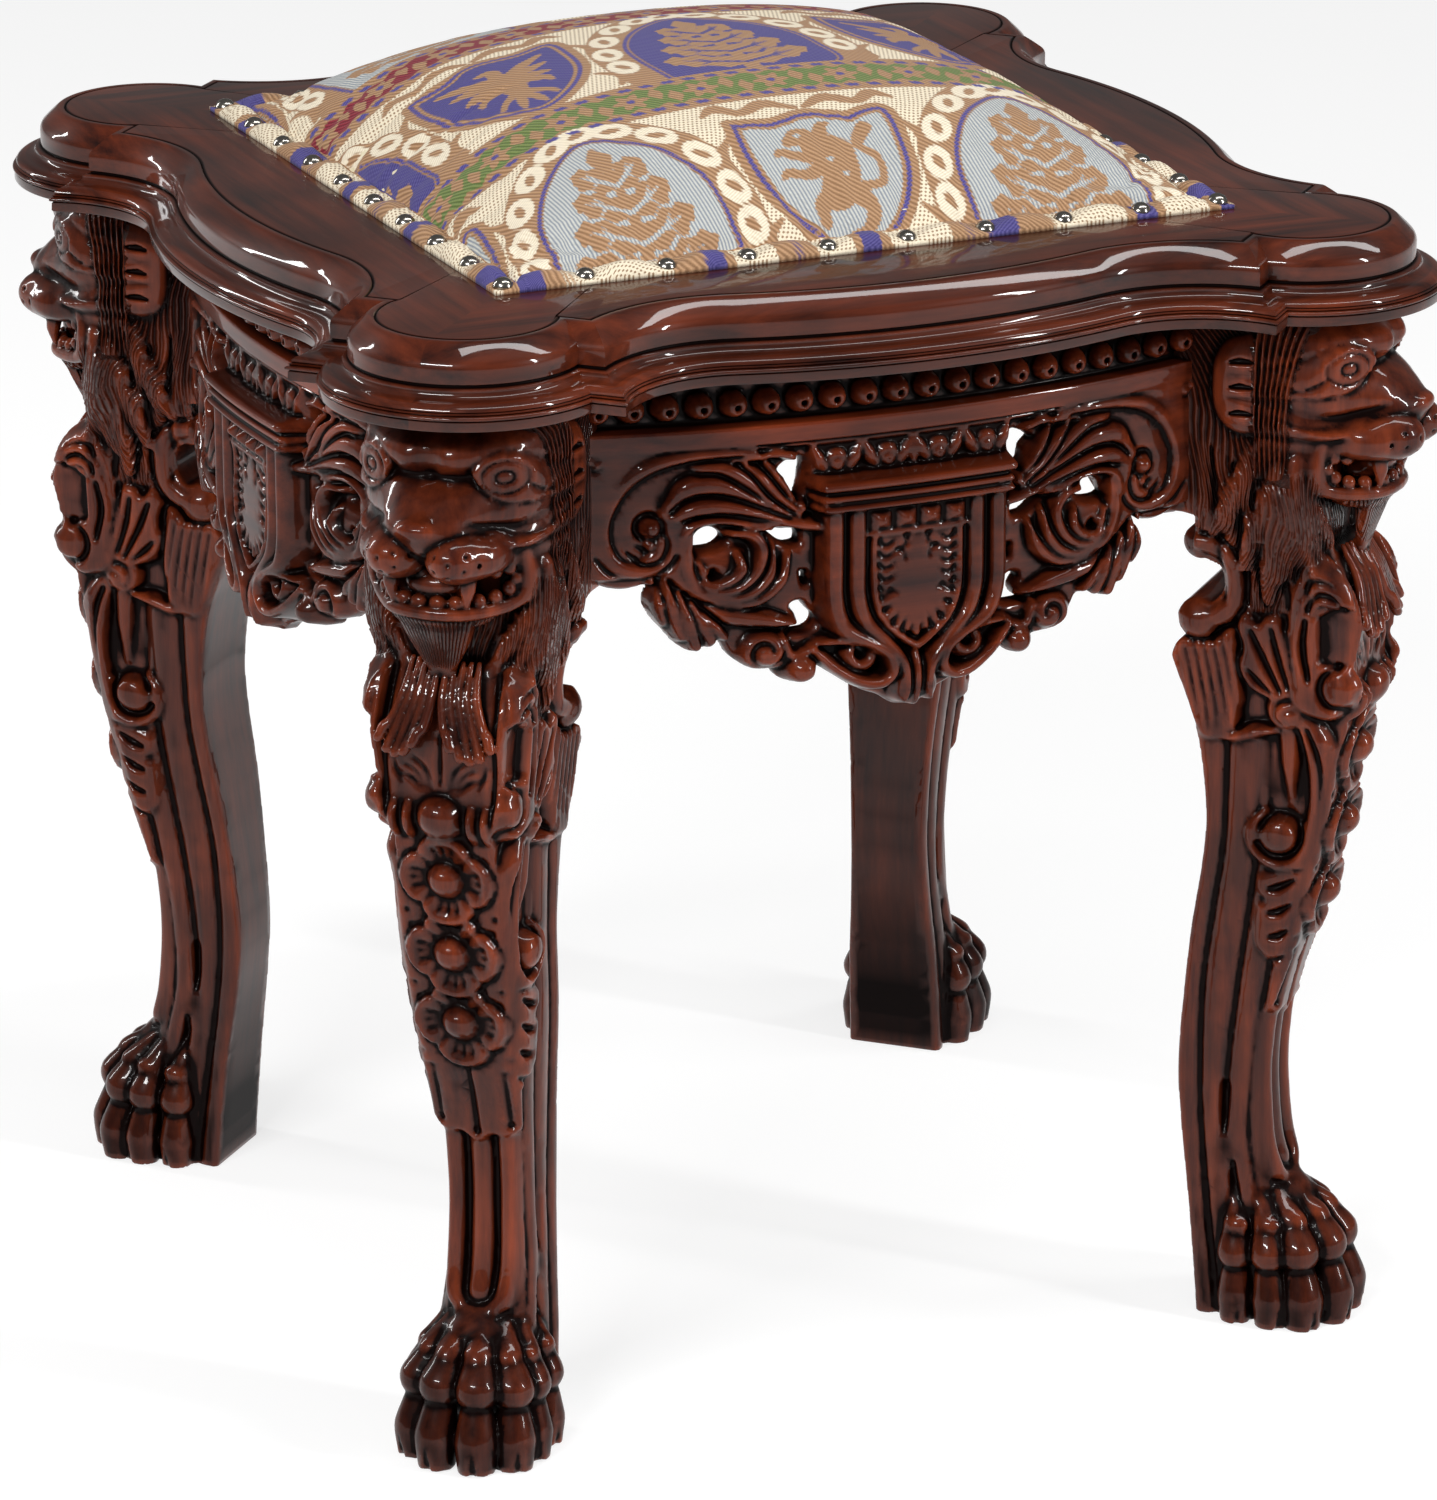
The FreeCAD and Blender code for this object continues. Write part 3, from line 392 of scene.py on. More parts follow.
# the lion's face: broad planes first, as rows of reach over width, then the features
FACE_HEIGHTS = [345, 366, 372, 379, 384, 389, 394, 398, 401, 405, 411, 415, 424]
FACE_WIDTHS = [0, 7, 12, 15, 18, 22, 27, 32, 38, 43, 52]
FACE_REACH = [
    [268, 267, 266, 265, 264, 262, 260, 256, 248, 232, 200],
    [284, 283, 281, 279, 276, 272, 268, 261, 252, 236, 205],
    [292, 290, 287, 283, 278, 273, 268, 262, 254, 238, 208],
    [296, 294.4, 291, 287.4, 282.6, 276.4, 270.4, 264, 256, 240, 210],
    [293.5, 292.4, 289.8, 286.8, 282.8, 277, 271.4, 265.4, 257, 241, 212],
    [289, 288.2, 286.4, 284, 280.8, 276.2, 271.6, 266, 258, 242, 212],
    [284, 283.2, 281.6, 279.6, 277.2, 274, 271, 266, 258, 242, 212],
    [278.5, 278, 276.5, 275, 273.5, 272, 270.5, 266, 258, 242, 212],
    [280, 281, 280, 278.5, 276.5, 273.5, 271, 266, 257.5, 241, 212],
    [282, 283.5, 283, 281.5, 279, 275.5, 271, 265, 256, 239, 210],
    [280.5, 281, 280.5, 279, 276.5, 273, 268, 262, 252, 235, 206],
    [272, 272, 271, 269.5, 267, 264, 259, 253, 243, 228, 200],
    [260, 260, 259, 257.5, 255, 252, 247, 241, 232, 218, 190],
]
head = Relief(t_axis, z_axis, 0.0)
columns = np.stack([smooth(list(zip(FACE_WIDTHS, row)), t_axis) for row in FACE_REACH])
head.h = np.stack([smooth(list(zip(FACE_HEIGHTS, column)), z_axis) for column in columns.T])
head.soften(3)
# brow: two soft bumps a side over a sharp line
head.slit([(0, 410), (1, 404), (0, 399)], (5.5, 5.0, 3.0), 1.7)
head.slit([(14, 409), (14.4, 403), (13.8, 399)], (4.4, 4.0, 2.0), 1.0)
head.slit([(0, 398.2), (8, 398.6), (14, 397.8), (18, 395.6)], (1.0, 1.0, 1.0, 0.6), 0.8)
# eyes: flat almonds, whose rings are cut last
almond = head.inside([(15.4, 400.4), (19.2, 405.2), (26.5, 407.6), (33.4, 404.2), (38.6, 396), (42, 386.6),
                      (34, 388), (26, 389), (19, 394.6)])
eye_plate = 271.8 - 0.80 * (ft - 27.5)
head.h = np.where(almond < 0, eye_plate, head.h - 2.0 * np.maximum(0, 1 - (almond / 1.2) ** 2))
# cheek: the fold that sweeps from the nose up to the ribs, with a rim under it
head.slit([(16, 383), (22, 380.6), (29, 379.2), (36, 381.4), (41, 387)], (0.8, 1.9, 2.9, 2.8, 1.6), 3.4)
head.reed([(22, 377), (28, 373.4), (34, 373), (39, 377), (43, 385)], (1.4, 2.2, 2.8, 2.8, 2),
          (262, 260, 256, 250, 240), (276, 273.4, 268.4, 262, 252))
for mark_z in (385.4, 387.0, 388.6):
    head.slit([(10.6, mark_z), (14.6, mark_z + 0.7)], 0.7, 0.9)
# open mouth
mouth = head.inside([(-14, 364), (0, 365), (10, 363.4), (18, 363.2), (25, 363.4), (29, 362.4),
                     (30.4, 358.4), (28, 353.4), (21, 349.6), (10, 348.8), (-10, 348.8)])
cavity = 265 - 0.012 * np.maximum(0, ft - 16) ** 2
head.h = np.where(mouth < 0, np.minimum(head.h, cavity), head.h)
head.h = np.where(fy < 347, np.minimum(head.h, 257.0), head.h)
head.h = np.where(fy < 330, 0, head.h)
face.h = np.where(fy > 346, head.h, np.maximum(face.h, head.h))
face.soften(1)
for radii in ((7.2, 6.2), (2.8, 2.4)):
    face.ring((26.6, 398.6), radii, 0.8, 1.2)
face.slit([(33.6, 395.4), (36.4, 391.6), (38.6, 388.6)], (0.6, 1.2, 0.5), 1.8)
front_field = (D - face.h[None]) / face.steepness(LEG_GRAIN)[None]
post_back = np.where(Z > 337, 180.0, 213.0)
back_line = np.where(Z > 289, post_back, back_edge[None, None, :])


def melt(a, b, soft):
    """Join two forms with a soft fillet."""
    m = np.clip(0.5 + 0.5 * (b - a) / soft, 0, 1)
    return b + (a - b) * m - soft * m * (1 - m)


# the edge between front and flank: crisp on the shaft, round on the head
edge_round = 0.6 + 8.0 * np.clip((Z - 342) / 12, 0, 1)
leg = np.maximum(-melt(-side_field, -front_field, edge_round), back_line - D)
# the notch bitten out behind the neck
bite = np.minimum(10.5 - np.hypot(D - NOTCH[0], Z - NOTCH[1]), 30 - abs(T))
leg = np.where((Z > 285) & (Z < 330), np.maximum(leg, bite), leg)


def room_for(points, reach):
    """The part of the block within reach of some points."""
    points = np.atleast_2d(points)
    low, high = points.min(0) - reach, points.max(0) + reach
    limits = zip((d_axis, t_axis, z_axis), low, high)
    return tuple(slice(*np.searchsorted(axis, (a, b))) for axis, a, b in limits)


def ball(centre, radii, soft):
    """Join an ellipsoid to the leg."""
    cut = room_for(centre, np.asarray(radii) + 4)
    axes = D[cut[0]], T[:, cut[1]], Z[:, :, cut[2]]
    q = [((axis - c) / r, r) for axis, c, r in zip(axes, centre, radii)]
    k = np.sqrt(sum(v ** 2 for v, _ in q))
    slope = np.sqrt(sum((v / r) ** 2 for v, r in q) + 1e-9)
    leg[cut] = melt(leg[cut], k * (k - 1) / slope, soft)


def bar(path, radius, count):
    """The part of the block round a smooth line, and in it the distance to a tapered bar along the line."""
    q = line_through(path, count)
    r = spread(radius, np.linspace(0, 1, count + 1))
    cut = room_for(q, r.max() + 4)
    place = np.stack(np.broadcast_arrays(D[cut[0]], T[:, cut[1]], Z[:, :, cut[2]]), -1)
    best = np.full(place.shape[:3], 99.0)
    for a, b, ra, rb in zip(q[:-1], q[1:], r[:-1], r[1:]):
        share = np.clip((place - a) @ (b - a) / ((b - a) ** 2).sum(), 0, 1)
        gap = np.linalg.norm(place - a - share[..., None] * (b - a), axis=-1)
        best = np.minimum(best, gap - ra - (rb - ra) * share)
    return cut, best


def tube(path, radius, soft, count=14):
    """Join a round bar to the leg."""
    cut, gap = bar(path, radius, count)
    leg[cut] = melt(leg[cut], gap, soft)


def score(path, radius, count=14):
    """Cut a round groove into the leg."""
    cut, gap = bar(path, radius, count)
    leg[cut] = np.maximum(leg[cut], -gap)


# lips above and below the notch, with domed ends
for d, z, radius, half_length in ((214, 324.2, 6.8, 32.0), (212.6, 292.2, 8.2, 31.0)):
    cut = room_for((d, 0, z), (radius + 4, half_length + 4, radius + 4))
    gap = np.hypot(D[cut[0]] - d, Z[:, :, cut[2]] - z)
    ends = T[:, cut[1]] - half_length + 0.075 * gap ** 2
    leg[cut] = melt(leg[cut], np.maximum(gap - radius, ends), 1.6)
# outline of the eye plate, where it turns to the flank
score([(270.6, 29, 407), (267.4, 33, 404.6), (264.4, 36.4, 398.4), (262.4, 38.4, 391),
       (261.6, 38.6, 386.6)], (0.8, 1.2, 1.3, 1.2, 0.8))
score([(261.6, 38.6, 386.6), (265.8, 35, 387.6), (271.6, 27.8, 388.4), (276.4, 21.4, 392)],
      (0.8, 1.1, 1.1, 0.8))
# muzzle: whisker pads, nose, lips, teeth and fangs
PAD = np.array((281, 11.8, 370.2))
PAD_RADII = np.array((16.8, 11.8, 10.6))
ball(PAD, PAD_RADII, 1.2)
ball((275, 19.5, 369.6), (13.5, 9.5, 8.2), 3.0)
ball((291.5, 0, 381.4), (6.0, 8.6, 4.2), 1.2)
tube([(284.5, 0, 347.4), (283.4, 8, 347.4), (279.6, 15.5, 347.4), (272, 22, 347.8), (265, 27, 349.4),
      (260.6, 30.2, 353.6), (260, 31, 361), (262, 29.6, 368)],
     (2.6, 2.6, 2.6, 2.6, 2.7, 2.8, 2.6, 2.0), 1.6, 21)
ball((255, 27, 356), (9, 7.5, 10), 4.0)
ball((270, 0, 354), (12, 11, 5.4), 1.5)
ball((275.6, 0, 356.8), (7.4, 11.6, 5.2), 1.5)
ball((270, 0, 344), (13, 20, 5.5), 2.0)
ball((252, 0, 331), (11, 20, 18), 3.0)
for place, wide in (((282.4, 3.6, 351.2), 3.5), ((280.8, 10.4, 351.2), 3.4), ((276, 17.0, 351.4), 2.9),
                    ((270.8, 21.6, 352.2), 2.7), ((266.2, 25.2, 354.6), 2.6),
                    ((263.6, 27.2, 358.2), 2.4)):
    ball(place, (2.8, wide, 2.9), 0.3)
for place in ((279, 4, 361.4), (278, 10, 361.2), (270, 21.4, 361.6), (266, 25, 362.4)):
    ball(place, (2.6, 2.8, 2.6), 0.5)
tube([(280.6, 15.4, 363), (281.6, 15.2, 357), (281.4, 14.6, 351)], (3.4, 2.9, 1.2), 0.6, 6)
# whisker pits on the pads
for turn, rise in ((-50, 0.1), (-22, -0.3), (-20, 0.25), (8, -0.5), (12, 0.05), (40, -0.25), (44, 0.3),
                   (66, -0.1)):
    out = np.radians(turn)
    level = np.sqrt(1 - rise ** 2)
    d, t, z = PAD + PAD_RADII * (level * np.cos(out), level * np.sin(out), rise)
    cut = room_for((d, t, z), 4)
    gap = np.sqrt((D[cut[0]] - d) ** 2 + (T[:, cut[1]] - t) ** 2 + (Z[:, :, cut[2]] - z) ** 2)
    leg[cut] = np.maximum(leg[cut], WHISKER_PIT - gap)
# beard: a flat tuft that comes to a point
for step in range(9):
    tube([(279 - 0.1 * step ** 1.6, 1.7 * step, 345.5), (275.5 - 0.3 * step, 1.2 * step, 334),
          (270.5, 0.35 * step, 321), (268.5, 0.1 * step, 314)],
         (2.8, 2.4, 1.6, 0.8), 1.2, 10)
# long locks that fall from the corner of the jaw
ball((247, 17, 334), (13, 16, 24), 5.0)
for start, bend, fall, end in (((253, 35, 361), (254, 34, 347), (257.5, 30, 334), (261, 24, 320)),
                               ((247, 36, 357), (250, 35, 342), (255, 31.5, 328), (259.5, 26.5, 314)),
                               ((256.5, 32, 352), (259, 28.5, 341), (261.5, 22.5, 331), (263, 16, 320))):
    tube([start, bend, fall, end], (1.6, 3.6, 3.6, 1.6), 3.2, 12)
for lock in ([(254, 34, 362), (251, 34.4, 349), (246.5, 33, 334), (243, 31, 318), (242, 29.6, 304)],
             [(247, 35, 360), (243.6, 34.2, 346), (237, 32.8, 331), (232.5, 31.4, 317)],
             [(255, 32.6, 348), (253.5, 32.4, 337), (250.5, 31.2, 326), (247, 30, 314)],
             [(237, 35, 366), (232, 34.6, 351), (226, 33.6, 339), (221, 32.6, 331)]):
    tube(lock, (1.4, 4.2, 4.4, 3.8, 1.8), 4.0, 14)
# leaf tufts under the beard, in ribs that spread and curl outward at staggered tips
ball((263.5, 8, 308), (9, 12, 14), 3.0)
for rib in range(5):
    lean = 5.0 + 3.7 * rib
    tip = 290.5 + 1.2 * (rib - 2) ** 2
    tube([(269.5 - 0.7 * rib, 1.6 + 2.9 * rib, 324), (275.6 - 0.6 * rib, 2.0 + 3.1 * rib, 312),
          (279 - 0.7 * rib, 0.5 * lean + 1.4 + 1.7 * rib, 302),
          (281 - 0.8 * rib, lean + 1.0, tip + 4), (282.6 - 0.8 * rib, lean + 2.4, tip + 0.4),
          (283 - 0.8 * rib, lean + 3.4, tip)],
         (1.0, 1.9, 2.1, 2.2, 2.0, 1.3), 0.2, 20)
# paw: a full instep, then four toes to a side, each of three joints that meet in creases, with a claw slit
ball((245, 0, 34), (16, 19, 24), 3.0)
for ankle, knuckle, bulb, waist, foot, wide in (
    ((247, 4.2, 52), (258, 5.6, 42.6), (264.4, 7.4, 32), (266, 7.6, 22), (268.2, 8.2, 12), 8.6),
    ((243.6, 10, 53), (252, 14.6, 42), (257, 18.8, 31), (257.8, 19.2, 21.2), (259.6, 20.4, 11.5), 8.4),
    ((238, 13.6, 53), (243.4, 18.4, 41), (246, 21.8, 30), (246.2, 22.0, 20.4), (247.4, 23, 11), 7.8),
    ((229, 14.4, 52), (231.2, 18.8, 40), (232, 21.6, 29), (232, 21.8, 19.6), (232.4, 22.2, 10.5), 7.4),
):
    rest = (foot[0], foot[1], 2.0)
    ahead = np.subtract(foot, ankle) * (1, 1, 0)
    ahead = ahead / np.linalg.norm(ahead)
    tube([ankle, knuckle], (2.4, 0.76 * wide), 1.4)
    ball(knuckle + 2.7 * ahead, (5.2, 4.6, 4.4), 1.0)
    tube([knuckle, bulb], (0.64 * wide, 1.02 * wide), 0.8)
    tube([waist, foot, rest], (0.78 * wide, wide, 0.86 * wide), 0.9, 20)
    nail = np.array(foot) + wide * ahead
    score([nail - (0, 0, 2.0), nail - (0, 0, 6.0), nail - 1.2 * ahead - (0, 0, 12.0)], (0.5, 1.2, 1.9))
leg = np.maximum(leg, np.maximum(Z - LEG_TOP, -Z))
leg = np.concatenate([leg[:, :0:-1, :], leg], 1)


def surface(field, step, origin, thin):
    """Points and faces where a field is zero, and the share of wood within reach of each point."""
    grid = openvdb.FloatGrid(4.0)
    grid.copyFromArray(np.clip(field, -4, 4).astype(np.float32))
    points, triangles, quads = grid.convertToPolygons(0.0, thin)
    fill = (field < 0).astype(np.float32)
    for axis in range(3):
        total = np.cumsum(fill, axis)
        place = np.arange(fill.shape[axis])
        high = np.minimum(place + FILL_REACH, len(place) - 1)
        low = np.maximum(place - FILL_REACH - 1, 0)
        fill = (np.take(total, high, axis) - np.take(total, low, axis)) / (2 * FILL_REACH + 1)
    low = np.clip(points.astype(int), 0, np.array(field.shape) - 2)
    part = points - low
    shade = 0.0
    for corner in np.ndindex(2, 2, 2):
        weight = np.prod(np.where(corner, part, 1 - part), axis=1)
        shade = shade + weight * fill[tuple((low + corner).T)]
    points = points * step + np.asarray(origin)
    a, b, c = (points[quads[:, k]] - points.mean(0) for k in range(3))
    if np.einsum("ij,ij->i", a, np.cross(b, c)).sum() < 0:
        quads = quads[:, ::-1]
        triangles = triangles[:, ::-1]
    return points, quads, triangles, shade


def shown(name, data):
    """An object of the scene, at the origin."""
    obj = bpy.data.objects.new(name, data)
    bpy.context.scene.collection.objects.link(obj)
    return obj


def piece(name, points, quads, triangles):
    """A smooth-shaded object at the origin from points in millimetres and faces."""
    mesh = bpy.data.meshes.new(name)
    corners = np.concatenate([quads.ravel(), triangles.ravel()]).astype(np.int32)
    sizes = np.concatenate([np.full(len(quads), 4), np.full(len(triangles), 3)])
    starts = np.concatenate([[0], np.cumsum(sizes)[:-1]]).astype(np.int32)
    mesh.vertices.add(len(points))
    mesh.loops.add(len(corners))
    mesh.polygons.add(len(sizes))
    mesh.vertices.foreach_set("co", (points * 0.001).astype(np.float32).ravel())
    mesh.loops.foreach_set("vertex_index", corners)
    mesh.polygons.foreach_set("loop_start", starts)
    mesh.update(calc_edges=True)
    mesh.validate()
    mesh.shade_smooth()
    return shown(name, mesh)


def turned_by(angle):
    """The turn of rows of points about the upright axis, in degrees."""
    turn = np.radians(angle)
    return np.array([[np.cos(turn), np.sin(turn), 0], [-np.sin(turn), np.cos(turn), 0], [0, 0, 1]])


def mark(obj, name, values):
    """A value at each point of a piece, for its material to read."""
    layer = obj.data.attributes.new(name, "FLOAT", "POINT")
    layer.data.foreach_set("value", values.astype(np.float32))


class Finish:
    """A procedural material: each method adds nodes to it and gives what they put out."""

    def __init__(self, name):
        self.material = bpy.data.materials.new(name)
        self.material.use_nodes = True
        self.nodes = self.material.node_tree.nodes
        self.links = self.material.node_tree.links

    def put(self, socket, given):
        """Link a socket to what another node puts out, or set it to a value."""
        if isinstance(given, bpy.types.NodeSocket):
            self.links.new(given, socket)
        else:
            socket.default_value = given

    def add(self, kind, output, inputs, **settings):
        """A node of a kind with its settings and inputs, and one of its outputs."""
        node = self.nodes.new("ShaderNode" + kind)
        for name, item in settings.items():
            setattr(node, name, item)
        for name, item in inputs.items():
            self.put(node.inputs[name], item)
        return node.outputs[output]

    def value(self, name):
        """What mark wrote on the piece."""
        return self.add("Attribute", "Fac", {}, attribute_name=name)

    def maths(self, operation, *given):
        """One step of arithmetic with values or outputs."""
        return self.add("Math", 0, dict(enumerate(given)), operation=operation)

    def ranged(self, given, low, high, start, end):
        """A value from low to high, mapped to run from start to end and held there."""
        limits = {"From Min": low, "From Max": high, "To Min": start, "To Max": end}
        return self.add("MapRange", "Result", {"Value": given, **limits})

    def over(self, under, colour, share):
        """One colour laid over another, as far as a share from 0 to 1."""
        return self.add("Mix", "Result", {"Factor": share, "A": under, "B": colour}, data_type="RGBA")

    def noise(self, scale, **inputs):
        """Noise over the object, stretched by a scale along each axis."""
        place = self.add("TexCoord", "Object", {})
        place = self.add("Mapping", "Vector", {"Vector": place, "Scale": scale})
        return self.add("TexNoise", "Fac", {"Vector": place, "Scale": 1.0, **inputs})

    def ramp(self, given, *stops):
        """Colours at places from 0 to 1."""
        node = self.nodes.new("ShaderNodeValToRGB")
        self.put(node.inputs["Fac"], given)
        for stop, (position, colour) in zip(node.color_ramp.elements, stops):
            stop.position = position
            stop.color = (*colour, 1)
        return node.outputs["Color"]

    def bump(self, height, strength, distance):
        """Normals tilted by a height."""
        inputs = {"Height": height, "Strength": strength, "Distance": distance}
        return self.add("Bump", "Normal", inputs)

    def done(self, inputs):
        """The material, with the inputs of its shader set."""
        for name, item in inputs.items():
            self.put(self.nodes["Principled BSDF"].inputs[name], item)
        return self.material


def lacquer(name, bare, glaze_and_shade, figure_scale, coat):
    """Red-brown lacquer on wood under a clear coat: lighter on convex edges, as worn lacquer and painted
    highlight, and nearly black in the hollows, as glazing and painted shade. Fine gouge lines come from the
    strand and comb values of the piece, and they make the colour darker in their grooves and lighter on
    their crests, as painted shade and highlight."""
    paint = Finish(name)
    figure = paint.noise(figure_scale, Detail=6, Roughness=0.62)
    wood = paint.ramp(figure, (0.30, bare[0]), (0.74, bare[1]))
    wave = paint.maths("SINE", paint.maths("MULTIPLY", paint.value("strand"), 2 * np.pi))
    lines = paint.maths("MULTIPLY", wave, paint.value("comb"))
    # painted shade and highlight: the hair lines raise the hollow value in their grooves and lower it on
    # their crests
    hollow = paint.maths("MULTIPLY_ADD", lines, -0.03, paint.value("hollow"))
    patches = paint.ranged(paint.noise((17, 17, 17), Detail=2), 0.36, 0.64, 0.68, 1.30)
    # painted highlight with wear: convex edges lighter, flat faces and hollows a little darker, times
    # random patches of tone
    light = paint.maths("MULTIPLY", paint.ranged(hollow, RUBBED_AND_HIGHLIT_FILL, FLAT_FILL, 1.60, 0.82), patches)
    rubbed_and_highlit = paint.add("VectorMath", "Vector", {0: wood, "Scale": light}, operation="SCALE")
    # glazing with painted shade: the hollows are mixed towards the near-black colour
    depth = paint.ranged(hollow, FLAT_FILL, HOLLOW_FILL, 0.0, 1.0)
    grooves = paint.bump(lines, 1.0, 0.0006)
    return paint.done({
        "Base Color": paint.over(rubbed_and_highlit, (*glaze_and_shade, 1), depth),
        "Roughness": 0.38,
        "Specular IOR Level": paint.ranged(depth, 0.0, 1.0, 0.08, 0.04),
        "Normal": grooves,
        "Coat Weight": paint.ranged(depth, 0.0, 1.0, coat, 0.04),
        "Coat Roughness": 0.04,
        "Coat Normal": grooves,
    })


points, quads, triangles, fill = surface(leg, LEG_GRAIN, (d_axis[0], -t_axis[-1], z_axis[0]), LEG_THINNING)
pd, pt, pz = points[:, 0], abs(points[:, 1]), points[:, 2]
# fine hair on the mane, throat and beard, and the combed ring behind the cheek
ear_disc = (ear_share(pd, pz, 18, 20.8) < 1) & (pd < RIB_BACK)
rib_edge = rib_front_at(pz)
ribs = (pd > RIB_BACK) & (pd < rib_edge) & (pz > 354) & (pt > 12)
over_scroll = smooth([(256, 312), (262, 322), (270, 326), (280, 316)], pd)
mane = np.clip((pz - 297) / 3, 0, 1) * np.clip((418 - pz) / 3, 0, 1) * np.clip((pd - 210) / 3, 0, 1)
mane *= np.where(pd > RIB_BACK, np.clip((358 - pz) / 3, 0, 1), 1.0) * ~ear_disc
mane *= np.clip((np.hypot(pd - NOTCH[0], pz - NOTCH[1]) - 20.5) / 2, 0, 1)
mane *= np.where(pd > 247 + 0.12 * np.maximum(0, pz - 300), np.clip((pz - over_scroll) / 3, 0, 1), 1.0)
mane *= np.clip((283 - pd) / 2, 0, 1) * np.where(pd > 262, np.clip((345 - pz) / 2, 0, 1), 1.0)
converge = 0.018 * np.maximum(0, 345 - pz) * np.clip((20 - pt) / 8, 0, 1)
sway = 1.6 * np.sin(pz / 11) + 0.9 * np.sin(pz / 5 + pd / 4) + 0.00004 * (pz - 330) ** 3
flow = pd - pt * (1 + converge) + sway
beard = (pd > 264 + 0.24 * np.maximum(0, pz - 320)) & (pz > 316) & (pz < 346) & (pt < 16)
strand = np.where(beard, 24 * pt / (pz - 304), flow / 2.5)
strand = np.where(ribs, RIB_COUNT * (pd - RIB_BACK) / (rib_edge - RIB_BACK), strand)
comb = np.where(ribs, 2.2 * np.clip((pz - 354) / 8, 0, 1), mane)
# the hair is cut into the surface along its normals
corners = np.vstack([quads[:, :3], quads[:, [0, 2, 3]], triangles])
first, second, third = (points[corners[:, k]] for k in range(3))
facing = np.cross(second - first, third - first)
normals = np.zeros_like(points)
for k in range(3):
    np.add.at(normals, corners[:, k], facing)
normals /= np.linalg.norm(normals, axis=1, keepdims=True) + 1e-12
hair = HAIR_DEPTH * mane * ~ribs * ~beard * np.sin(2 * np.pi * strand)
points = points + normals * hair[:, None]
# painted shade: the colour darkens towards the feet, near the floor, through a higher hollow value
fill = fill + FOOT_SHADE * np.clip((85 - pz) / 55, 0, 1)
# lacquer of the legs: bare colours, and near-black for glazing and painted shade in the hollows
LEG_BARE = (0.025, 0.0031, 0.0011), (0.132, 0.0220, 0.0060)
LEG_GLAZE_AND_SHADE = (0.0035, 0.0009, 0.0007)
carved_lacquer = lacquer("carved_lacquer", LEG_BARE, LEG_GLAZE_AND_SHADE, (120, 120, 9), 0.44)
for corner, angle in CORNERS.items():
    carved_leg = piece(f"carved_leg_{corner}", points @ turned_by(angle), quads, triangles)
    mark(carved_leg, "hollow", fill)
    mark(carved_leg, "strand", strand)
    mark(carved_leg, "comb", comb)
    carved_leg.data.materials.append(carved_lacquer)
    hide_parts(f"leg_{corner}")
    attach(carved_leg, "root")

# Aprons: four bowed boards between the legs, carved with a shield and pierced acanthus scrolls under
# a row of turned pearls. One half is drawn as a relief, mirrored, bent to the bow and copied round.

SIDES = {"front": 0, "right": 90, "back": 180, "left": 270}
BOARD_GRAIN = 0.72
BOARD_THINNING = 0.06
BOARD_REACH = 174.0
BOARD_BOW = 18.0
BOARD_HALF = 125.0
BOARD_BACK = -22.0
CARVED_BACK = -13.0
BOARD_SUNK = -4.6
BOARD_END = 126.2
CARVED_TOP = 389.0
PEARLS = 10
PEARL_PITCH = 12.8
PEARL_Z = 406.6
x_axis = np.arange(0, 127, BOARD_GRAIN)
e_axis = np.arange(-24, 13, BOARD_GRAIN)
y_axis = np.arange(278, 424, BOARD_GRAIN)

board = Relief(x_axis, y_axis, BOARD_SUNK)
bx, bz = board.x, board.y
# C scroll: a flat plate with a sunk field, cut lines that follow its rim and a small eye
board.h = np.where((bx > 86) | ((bz > 384) & (bx > 62)), -0.4, board.h)
field = board.inside([(72, 384.6), (86, 384.2), (98, 381.4), (108, 374.8), (113.6, 366), (114.6, 357),
                      (111.4, 350.6), (106, 348.2), (103, 352), (104.6, 357), (100, 365), (95, 373),
                      (87, 380)])
board.h = np.where(field < 0, -2.8, board.h)
board.reed([(62, 387), (78, 388.4), (94, 387.4), (106, 383.4), (116, 375)], (1, 2, 2.6, 2.6, 1.4), -1,
           (0.2, 1.4, 1.8, 1.4, 0))
for path, width, depth in (
    ([(68, 386.2), (84, 385.6), (98, 382.6), (109, 375.6), (115.2, 365.5), (116, 356.5), (112.4, 349.4),
      (105, 346.2)], (0.7, 1.3, 1.5, 1.7, 1.7, 1.7, 1.4, 0.6), 3.2),
    ([(123, 350.4), (117, 343.8), (109, 340.8), (101, 341.8), (94.6, 346.6), (92.6, 351)],
     (0.6, 1.2, 1.4, 1.4, 1.2, 0.6), 2.6),
    ([(111, 351.4), (104.4, 346.8), (98.6, 348), (96, 354), (98, 360)], (0.6, 1.2, 1.3, 1.2, 0.6), 2.6),
    ([(107.4, 354), (102.4, 351.6), (100.2, 356)], (0.6, 1.0, 0.6), 2.0),
):
    board.slit(path, width, depth)
board.ring((102.6, 361), (4.8, 4.8), 1.2, 2.4)
board.dome((102.6, 361), (3.2, 3.2), -1, 2.6)
